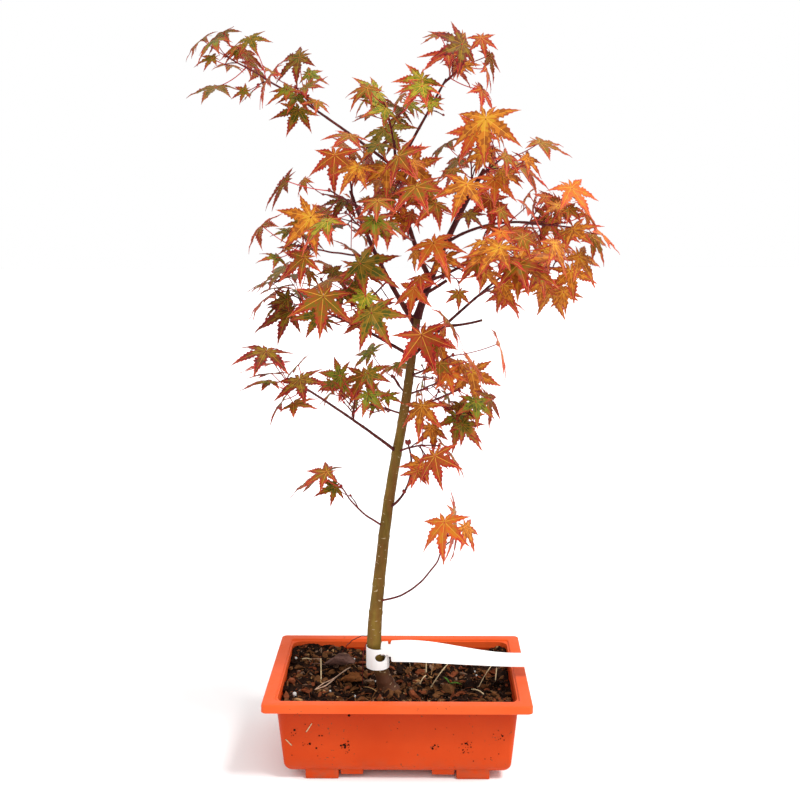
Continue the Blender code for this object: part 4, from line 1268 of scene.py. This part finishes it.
def soft_block(batch, centre, size, bevel, look):
    """A box with bevelled edges."""
    bm = bmesh.new()
    bmesh.ops.create_cube(bm, size=1.0)
    bmesh.ops.scale(bm, vec=size, verts=bm.verts)
    bmesh.ops.bevel(bm, geom=bm.edges[:], offset=bevel, segments=2, affect="EDGES", profile=0.5)
    bmesh.ops.translate(bm, vec=centre, verts=bm.verts)
    add_solid(batch, bm, look)


def make_pot():
    """The tray with soft edges, a turned-down rim, four feet and a low step beside each."""
    flange = POT_HEIGHT - PLASTIC
    skirt = POT_HEIGHT - RIM_BAND
    turned_down = (
        (BODY_INSET_TOP + 0.0003, flange - 0.0008, BODY_CORNER),
        (BODY_INSET_TOP - 0.0006, flange, BODY_CORNER),
        (PLASTIC + 0.0006, flange, RIM_CORNER - PLASTIC),
        (PLASTIC, flange - 0.0006, RIM_CORNER - PLASTIC),
        (PLASTIC, skirt + 0.0003, RIM_CORNER - PLASTIC),
        (PLASTIC * 0.75, skirt, RIM_CORNER - PLASTIC / 2),
        (0.0004, skirt, RIM_CORNER),
        (0.0, skirt + 0.0004, RIM_CORNER),
    )
    rings = base_rings(0.0) + [rounded_ring(*row) for row in turned_down]
    rings += quarter_edge(0.0, POT_HEIGHT, RIM_SOFTNESS, RIM_SOFTNESS, RIM_CORNER)
    rings += quarter_edge(RIM_TOP_WIDTH, POT_HEIGHT, -RIM_SOFTNESS, RIM_SOFTNESS, MOUTH_CORNER)[::-1]
    rings.append(rounded_ring(BODY_INSET_TOP + PLASTIC, flange, BODY_CORNER))
    rings += base_rings(PLASTIC)[::-1]
    pot = Batch()
    pot.add([point for ring in rings for point in ring], loft_faces(rings), "pot")
    for side_x in (-1, 1):
        for side_y in (-1, 1):
            for centre, size, base in ((FOOT_CENTRE, FOOT_SIZE, 0.0), (STEP_CENTRE, STEP_SIZE, STEP_BASE)):
                middle = (side_x * centre[0], side_y * centre[1], (base + FOOT_ROOT) / 2)
                soft_block(pot, middle, (*size, FOOT_ROOT - base), FOOT_BEVEL, "pot")
    obj = make_piece("pot_shell", pot, ["pot"])
    obj.data.set_sharp_from_angle(angle=SHARP_EDGE)


def wall_point(along, height, side):
    """A point on the body's outer wall: side 0 faces front, 1 right, 2 back and 3 left."""
    top = POT_HEIGHT - PLASTIC
    slope = (BODY_INSET_BASE - BODY_INSET_TOP) / (top - BODY_BASE - BASE_ROUNDING)
    inset = BODY_INSET_TOP + slope * (top - height)
    half_x, half_y = POT_WIDTH / 2 - inset, POT_DEPTH / 2 - inset
    return ((along, -half_y), (half_x, along), (-along, half_y), (-half_x, -along))[side] + (height,)


def make_pot_dirt():
    """Crumbs of dried soil on the pot's walls, and two pale bits of straw that stick to its front."""
    rng = random.Random("dirt")
    dirt = Batch()
    spots = [(middle + rng.gauss(0, spread), height + rng.gauss(0, spread), 0)
             for middle, height, spread, count in SPLASHES for _ in range(count)]
    spots += [(rng.uniform(-span, span), rng.uniform(*CRUMB_HEIGHTS), side)
              for side, span in enumerate(WALL_SPANS) for _ in range(SPECKS_ON_WALL)]
    low, high = CRUMB_HEIGHTS
    least, growth, largest = CRUMB_RADII
    for along, height, side in spots:
        radius = min(largest, least + rng.expovariate(1 / growth))
        add_grain(dirt, wall_point(along, min(max(height, low), high), side), radius, rng, "chip_dark")
    for middle, height, run, rise in PALE_MARKS:
        path = [wall_point(middle + run * share, height + rise * share, 0) for share in (-1, -0.4, 0.3, 1)]
        add_fibre(dirt, path, PALE_MARK_RADIUS, "straw")
    make_piece("pot_dirt", dirt)


def soil_height(x, y):
    """Soil falls from left to right, with lumps, and is level where the trunk stands."""
    height = SOIL_LEFT + (SOIL_RIGHT - SOIL_LEFT) * (0.5 + x / POT_WIDTH)
    away = math.hypot(x - TRUNK[0].x, y - TRUNK[0].y) / PAD_RADIUS
    height = PAD_TOP if away < 1 else PAD_TOP + (height - PAD_TOP) * min(away - 1, 1)
    for bank in BANKS:
        height += bank.height * math.exp(-((x - bank.x) ** 2 + (y - bank.y) ** 2) / bank.reach ** 2)
    for scale, swing in SOIL_RELIEF:
        height += swing * noise.noise(Vector((x * scale, y * scale, 3.7)))
    return height


def soil_edge(x, y):
    """A point of the unit square moved into the soil's rounded outline."""
    half_x, half_y = INNER_HALF_X - SOIL_GAP, INNER_HALF_Y - SOIL_GAP
    x, y = x * half_x, y * half_y
    beyond_x, beyond_y = abs(x) - (half_x - BODY_CORNER), abs(y) - (half_y - BODY_CORNER)
    if beyond_x > 0 and beyond_y > 0:
        pull = min(1.0, max(beyond_x, beyond_y) / math.hypot(beyond_x, beyond_y))
        x = math.copysign(half_x - BODY_CORNER + beyond_x * pull, x)
        y = math.copysign(half_y - BODY_CORNER + beyond_y * pull, y)
    return x, y


def make_soil():
    """A crumbly bed, and on it bark chips, fibres, straw and a few white grains."""
    columns, rows = SOIL_CELLS
    top = np.array([on_soil(*soil_edge(2 * column / columns - 1, 2 * row / rows - 1))
                    for row in range(rows + 1) for column in range(columns + 1)])
    base = np.column_stack((top[:, :2] * SOIL_TAPER, np.full(len(top), SOIL_RIGHT - SOIL_DEPTH)))
    bed = Batch()
    bed.add(np.vstack((top, base)), closed_faces(grid_faces(rows, columns), len(top)), "soil")
    make_piece("soil_bed", bed, ["soil"])

    rng = random.Random("soil")
    litter = Batch()
    least, growth, longest = CHIP_LENGTHS
    for chip in range(CHIPS + LARGE_CHIPS):
        x, y = soil_edge(rng.uniform(-0.98, 0.98), rng.uniform(-0.98, 0.98))
        length = min(longest, least + rng.expovariate(1 / growth))
        if chip >= CHIPS:
            x, y, length = 0.94 * x, 0.94 * y, rng.uniform(*LARGE_CHIP_LENGTH)
        add_chip(litter, on_soil(x, y), length, length * rng.uniform(*CHIP_WIDTH), rng)
    for x, y, length in CHUNKS:
        add_chip(litter, on_soil(x, y, 0.001), length, 0.75 * length, rng)
    for _ in range(CURLS):
        spot = soil_edge(rng.uniform(-0.90, 0.90), rng.uniform(-0.90, 0.90))
        look = rng.choice(CURL_LOOKS)
        add_dry_leaf(litter, spot, rng.uniform(*CURL_SIZE), rng.uniform(0, 360), look, rng)
    for _ in range(STRANDS):
        x, y = soil_edge(rng.uniform(-0.9, 0.9), rng.uniform(-0.88, 0.88))
        add_strand(litter, x, y, rng)
    spots = [(*soil_edge(rng.uniform(-0.95, 0.95), rng.uniform(-0.5, 0.95)), rng.uniform(*GRAIN_RADIUS))
             for _ in range(GRAINS)]
    for x, y, radius in GRAIN_SPOTS + tuple(spots):
        add_grain(litter, on_soil(x, y, 1.4 * radius), radius, rng)
    for straw in STRAWS:
        reach = direction(straw.heading, straw.pitch) * straw.length
        path = bowed(on_soil(straw.x, straw.y, 0.001), reach, 0.0012, (0.0, 0.3, 0.6, 0.8, 1.0))
        add_fibre(litter, path, rng.uniform(*STRAW_RADIUS), rng.choice(STRAW_LOOKS))
    add_rootlet(litter)
    add_sprout(litter)
    add_dry_leaf(litter, DRY_LEAF, 0.016, -15, "dry_leaf", rng)
    add_dry_leaf(litter, LEAF_SCRAP, 0.012, -25, "dry_leaf_red", rng)
    make_piece("soil_litter", litter, smooth=False)


def on_soil(x, y, above=0.0):
    """A point on the soil, or a little above it."""
    return np.array((x, y, soil_height(x, y) + above))


def bowed(foot, reach, bow, shares):
    """Points along a straight reach that bows up in its middle."""
    return [foot + reach * share + UP * bow * math.sin(math.pi * share) for share in shares]


def add_chip(batch, place, length, width, rng):
    """An angular crumb of bark with a ragged waist, tilted and partly sunk."""
    corners = rng.randint(5, 8)
    thick = width * rng.uniform(0.22, 0.5)
    turn = Matrix.Rotation(rng.uniform(0, 6.3), 3, "Z") @ Matrix.Rotation(rng.gauss(0, 0.7), 3, "X")
    turn = turn @ Matrix.Rotation(rng.gauss(0, 0.7), 3, "Y")
    verts = []
    for level, share in ((-0.5, 0.80), (0.1, 1.05), (0.5, 0.75)):
        for corner in range(corners):
            angle = 2 * math.pi * corner / corners + rng.uniform(-0.3, 0.3)
            reach = share * rng.uniform(0.70, 1.08) / 2
            rise = level + rng.uniform(-0.12, 0.12)
            point = Vector((length * reach * math.cos(angle), width * reach * math.sin(angle), rise * thick))
            verts.append(turn @ point + Vector(place) + Vector((0, 0, thick * 0.35)))
    faces = [tuple(reversed(range(corners))), tuple(range(2 * corners, 3 * corners))]
    faces += [(row + k, row + (k + 1) % corners, row + corners + (k + 1) % corners, row + corners + k)
              for row in (0, corners) for k in range(corners)]
    look = rng.choice(CHIP_LOOKS)
    batch.add(verts, faces, "chip_tan" if rng.random() < TAN_CHIPS else look)


def add_fibre(batch, path, radius, look):
    """A thin round fibre along a path."""
    line = smooth_path(path, 0.0018)
    batch.add(*tube(line, [radius] * len(line), 5), look)


def add_strand(batch, x, y, rng):
    """A fine root or wood fibre that lies on the soil and bends up in places."""
    heading = rng.uniform(0, 360)
    length = rng.uniform(*STRAND_LENGTH)
    curl = rng.gauss(0, 28)
    lift = abs(rng.gauss(0, 0.0012))
    edge_x, edge_y = INNER_HALF_X - STRAND_GAP, INNER_HALF_Y - STRAND_GAP
    path = []
    for step in range(STRAND_STEPS + 1):
        share = step / STRAND_STEPS
        rise = 0.0007 + lift * math.sin(math.pi * share) + 0.00001 * step
        path.append(on_soil(x, y, rise))
        run = direction(heading + curl * share, 0) * length / STRAND_STEPS
        x = min(max(x + run[0], -edge_x), edge_x)
        y = min(max(y + run[1], -edge_y), edge_y)
    look = rng.choice(STRAND_LOOKS)
    if math.dist(path[0], path[-1]) > 0.002:
        add_fibre(batch, path, rng.uniform(*STRAND_RADIUS), look)


def add_rootlet(batch):
    """A pale forked rootlet that lies on the soil."""
    path = [on_soil(x, y, 0.0030) for x, y in ROOTLET]
    add_fibre(batch, path, 0.00055, "rootlet")
    side = path[1] + np.array((0.004, 0.009, 0.001))
    add_fibre(batch, [path[0], (path[0] + side) / 2 + UP * 0.001, side, path[3]], 0.00040, "rootlet")


def add_sprout(batch):
    """A tiny green seedling with two narrow leaves."""
    foot = on_soil(*SPROUT)
    fork = foot + UP * 0.004
    add_fibre(batch, [foot, (foot + fork) / 2 + np.array((0.0004, 0, 0)), fork], 0.00022, "sprout")
    for heading, pitch, length in ((160, 40, 0.007), (-10, 0, 0.009)):
        reach = direction(heading, pitch) * length
        line = smooth_path(bowed(fork, reach, 0.001, (0.0, 0.25, 0.5, 0.75, 1.0)), 0.0008)
        widths = [0.00015 + 0.0005 * math.sin(math.pi * k / (len(line) - 1)) for k in range(len(line))]
        batch.add(*tube(line, widths, 6), "sprout")


def add_dry_leaf(batch, spot, size, heading, look, rng):
    """A dry curled leaf: a ragged sheet rolled up along its edges."""
    along, across = direction(heading, 8), direction(heading + 90, 0)
    middle = on_soil(*spot, size * 0.16)
    flat = []
    for row in range(CURL_CELLS + 1):
        u = 2 * row / CURL_CELLS - 1
        breadth = 0.55 * (1 - abs(u) ** 2.2) + 0.10 + 0.05 * math.sin(row * 2.1)
        for column in range(CURL_CELLS + 1):
            v = 2 * column / CURL_CELLS - 1
            curl = CURL_TURN * v * breadth
            crumple = 0.07 * noise.noise(Vector((u * 2.5, v * 2.5, size * 500)))
            out = math.sin(curl) / CURL_TURN
            rise = (1 - math.cos(curl)) / CURL_TURN * 1.1 + crumple + 0.10 * u * u
            flat.append(middle + (along * u * 0.8 + across * out + UP * rise) * size)
    faces = [face[::-1] for face in grid_faces(CURL_CELLS, CURL_CELLS)]
    batch.add(*closed_sheet(np.array(flat), faces, UP[None], 0.0003), look)
    stalk = [middle - along * size * 0.75, middle - along * size * 1.2 + UP * size * 0.1,
             middle - along * size * 1.6 + UP * size * rng.uniform(0.0, 0.1)]
    add_fibre(batch, stalk, 0.0003, look)


def add_grain(batch, place, radius, rng, look="perlite"):
    """An uneven grain or crumb."""
    bm = bmesh.new()
    bmesh.ops.create_icosphere(bm, subdivisions=2, radius=radius)
    for vert in bm.verts:
        vert.co *= 1 + 0.25 * noise.noise(vert.co * 900 + Vector((rng.random(), 0, 0)))
        vert.co += Vector(place)
    add_solid(batch, bm, look)


def label_loop():
    """The ring round the trunk, with a rounded slot at its front for the tail."""
    levels = np.linspace(-LABEL_HEIGHT / 2, LABEL_HEIGHT / 2, LABEL_LOOP_LEVELS)
    turns = [360 * step / LABEL_LOOP_STEPS for step in range(LABEL_LOOP_STEPS)]
    spots = {}
    faces = []
    for step in range(LABEL_LOOP_STEPS):
        beyond = (step + 1) % LABEL_LOOP_STEPS
        for row in range(LABEL_LOOP_LEVELS - 1):
            corners = ((step, row), (beyond, row), (beyond, row + 1), (step, row + 1))
            if max(slot_share(turns[at], levels[level]) for at, level in corners) > 1.0:
                faces.append(tuple(spots.setdefault(corner, len(spots)) for corner in corners))
    flat, outward = [], []
    for at, level in spots:
        angle, rise = turns[at], levels[level]
        share = slot_share(angle, rise)
        if share < 1.0:
            angle = LABEL_SLOT_ANGLE + turned(angle) / math.sqrt(share)
            rise = LABEL_SLOT_RISE + (rise - LABEL_SLOT_RISE) / math.sqrt(share)
        way = direction(angle, 0)
        flat.append(np.array(LABEL_LOOP_CENTRE) + way * LABEL_LOOP_RADIUS + UP * rise)
        outward.append(way)
    return closed_sheet(np.array(flat), faces, np.array(outward), LABEL_THICKNESS)


def turned(angle):
    """How far an angle round the loop lies from the slot's middle, from -180 to 180 degrees."""
    return (angle - LABEL_SLOT_ANGLE + 180) % 360 - 180


def slot_share(angle, rise):
    """Under 1 inside the slot, and 1 on its edge."""
    return (turned(angle) / LABEL_SLOT_SPREAD) ** 2 + ((rise - LABEL_SLOT_RISE) / LABEL_SLOT_HALF) ** 2 + 1e-9


def label_tail():
    """The strip that comes out of the slot by a narrow neck, falls in a soft S and turns its face up."""
    begin = np.array((*LABEL_LOOP_CENTRE[:2], LABEL_TAIL_START))
    begin = begin + direction(LABEL_NECK_ANGLE, 0) * LABEL_LOOP_RADIUS
    finish = np.array(LABEL_TAIL_END)
    total = math.dist(begin, finish)
    (strip, strip_end, strip_steps), (end, last, end_steps) = LABEL_STRIP_STEPS, LABEL_END_STEPS
    runs = np.concatenate((np.linspace(*LABEL_NECK_STEPS), np.linspace(strip, total + strip_end, strip_steps),
                           np.linspace(total + end, total + last, end_steps)))
    run = unit(np.array((finish[0] - begin[0], finish[1] - begin[1], 0.0)))
    back = np.cross(UP, run)
    flat, outward = [], []
    for value in runs:
        share = max(value, 0.0) / total
        fall = min(max((share - LABEL_TAIL_LEVEL) / LABEL_TAIL_FALL, 0), 1)
        lean = math.radians(LABEL_TAIL_LEAN) * math.sin(math.pi / 2 * min(1.0, 1.2 * share))
        across = back * math.sin(lean) + UP * math.cos(lean)
        point = begin + run * value - back * LABEL_TAIL_WAVE * math.sin(2 * math.pi * share)
        point[2] = LABEL_TAIL_START + (LABEL_TAIL_END[2] - LABEL_TAIL_START) * fall * fall * (3 - 2 * fall)
        flat += [point + across * level for level in np.linspace(*tail_edges(value, total), LABEL_TAIL_ROWS)]
        outward += [UP * math.sin(lean) - back * math.cos(lean)] * LABEL_TAIL_ROWS
    faces = [(a, d, c, b) for a, b, c, d in grid_faces(len(runs) - 1, LABEL_TAIL_ROWS - 1)]
    return closed_sheet(np.array(flat), faces, np.array(outward), LABEL_THICKNESS)


def rounded_off(run, start, length):
    """How much of the width is left at a run into an end that is rounded over a length, from its start."""
    return math.sqrt(max(0.0, 1 - max(0.0, (run - start) / length) ** 2))


def tail_edges(run, total):
    """Lower and upper edge of the tail: a barb that stands up, a notch, then the full strip."""
    half = LABEL_HEIGHT / 2
    if run < LABEL_BARB_END:
        low, high = LABEL_BARB_EDGES
        rounding = LABEL_HEAD_ROUNDING
        return low, high + (half - LABEL_BARB_DROP) * rounded_off(-run, LABEL_HEAD - rounding, rounding)
    if run < LABEL_NOTCH_END:
        return LABEL_NOTCH_EDGES
    grown = min(1.0, LABEL_SHOULDER + (1 - LABEL_SHOULDER) * (run - LABEL_NOTCH_END) / LABEL_SHOULDER_RUN)
    rounded = rounded_off(run, total - LABEL_END_ROUNDING, LABEL_END_ROUNDING)
    edge = half * grown * (LABEL_END_SHARE + (1 - LABEL_END_SHARE) * rounded)
    return -edge, edge


def make_label():
    """A blank white strip: a loop round the trunk, and the tail that comes through its slot."""
    label = Batch()
    label.add(*label_loop(), "label")
    label.add(*label_tail(), "label")
    obj = make_piece("plant_label_strip", label, ["plant_label"])
    obj.data.set_sharp_from_angle(angle=SHARP_EDGE)


# Studio


def make_camera():
    data = bpy.data.cameras.new("camera")
    data.lens = CAMERA_LENS
    data.sensor_width = 36.0
    camera = bpy.data.objects.new("camera", data)
    place = Vector(CAMERA_PLACE) + Vector((*POT_CENTRE, 0.0))
    turn = Matrix.Rotation(math.radians(CAMERA_TURN), 4, "Z")
    tilt = Matrix.Rotation(math.radians(CAMERA_TILT), 4, "X")
    roll = Matrix.Rotation(math.radians(CAMERA_ROLL), 4, "Z")
    camera.matrix_world = Matrix.Translation(place) @ turn @ tilt @ roll
    bpy.context.scene.collection.objects.link(camera)
    bpy.context.scene.camera = camera


def make_sun():
    """Soft light from the upper right, wide enough for a shadow with a blurred edge."""
    data = bpy.data.lights.new("key", "SUN")
    data.angle = math.radians(KEY_SPREAD)
    data.energy = KEY_STRENGTH
    lamp = bpy.data.objects.new("key", data)
    lamp.rotation_euler = Vector(KEY_LIGHT).to_track_quat("Z", "Y").to_euler()
    bpy.context.scene.collection.objects.link(lamp)


def make_studio():
    """A white world, one soft lamp and a plain pale floor."""
    world = bpy.data.worlds.new("studio")
    world.use_nodes = True
    background = world.node_tree.nodes["Background"]
    background.inputs["Color"].default_value = (1.0, 1.0, 1.0, 1.0)
    background.inputs["Strength"].default_value = 1.0
    bpy.context.scene.world = world
    mesh = bpy.data.meshes.new("floor")
    corners = ((-1, -1), (1, -1), (1, 1), (-1, 1))
    mesh.from_pydata([(FLOOR_REACH * x, FLOOR_REACH * y, 0) for x, y in corners], [], [(0, 1, 2, 3)])
    floor = bpy.data.objects.new("floor", mesh)
    floor.location = (0, 0, -FLOOR_DROP)
    mesh.materials.append(plain_material("floor", (0.97, 0.97, 0.97), 0.7))
    bpy.context.scene.collection.objects.link(floor)
    make_sun()
    bpy.context.scene.view_settings.view_transform = "Standard"


MATERIALS = {
    "pot": pot_material(),
    # The soil's first, near-black colour is painted shade for the gaps between crumbs
    "soil": soil_material("soil", (0.002, 0.001, 0.001), (0.035, 0.014, 0.007), 260),
    "label": label_material(),
    "trunk": trunk_material(),
    "bough": bough_material("bough_bark", (0.046, 0.007, 0.008), (0.120, 0.022, 0.017)),
    "twig": bough_material("twig_bark", (0.085, 0.010, 0.012), (0.190, 0.026, 0.023)),
    "bud": plain_material("bud", (0.230, 0.030, 0.024), 0.5),
    "sprout": plain_material("sprout", (0.130, 0.300, 0.040), 0.5),
    "stalk": plain_material("stalk", linear((188, 50, 48)), 0.45),
    "stalk_dark": plain_material("stalk_dark", linear((138, 30, 34)), 0.45),
}
for chip_look, chip_colour in CHIP_COLOURS.items():
    MATERIALS[chip_look] = chip_material(chip_look, chip_colour)
for colour_name, shown in LEAF_COLOURS.items():
    upper = tuple(LEAF_SHADE * value for value in linear(shown))
    MATERIALS[colour_name] = plain_material("leaf_" + colour_name, upper, 0.50)
    pale = [value + UNDERSIDE_SHARE * (under - value) for value, under in zip(shown, UNDERSIDE)]
    lower = tuple(LEAF_SHADE * value for value in linear(pale))
    MATERIALS["pale_" + colour_name] = plain_material("leaf_under_" + colour_name, lower, 0.62)


def main():
    # Noise vectors start from the clock unless they get a seed
    noise.seed_set(SEED)
    make_camera()
    make_studio()
    grown, space = {}, Space()
    grown["trunk"] = trunk_line()
    space.take("trunk", samples(grown["trunk"][0], LIMB_SAMPLES), TRUNK_GUARD)
    for limb in LIMBS:
        foot, _ = along_path(grown[limb.parent][0], limb.share)
        path = swept_path(foot, limb.heading, limb.pitch, limb.length, limb.arch, limb.sweep, LIMB_STEPS)
        grown[limb.name] = (path, limb_radii(limb, len(path)))
        space.take(limb.name, samples(path, LIMB_SAMPLES), limb.foot_radius)
    make_pot()
    make_pot_dirt()
    make_soil()
    make_label()
    make_wood(grown)
    make_foliage(grown, space)


main()
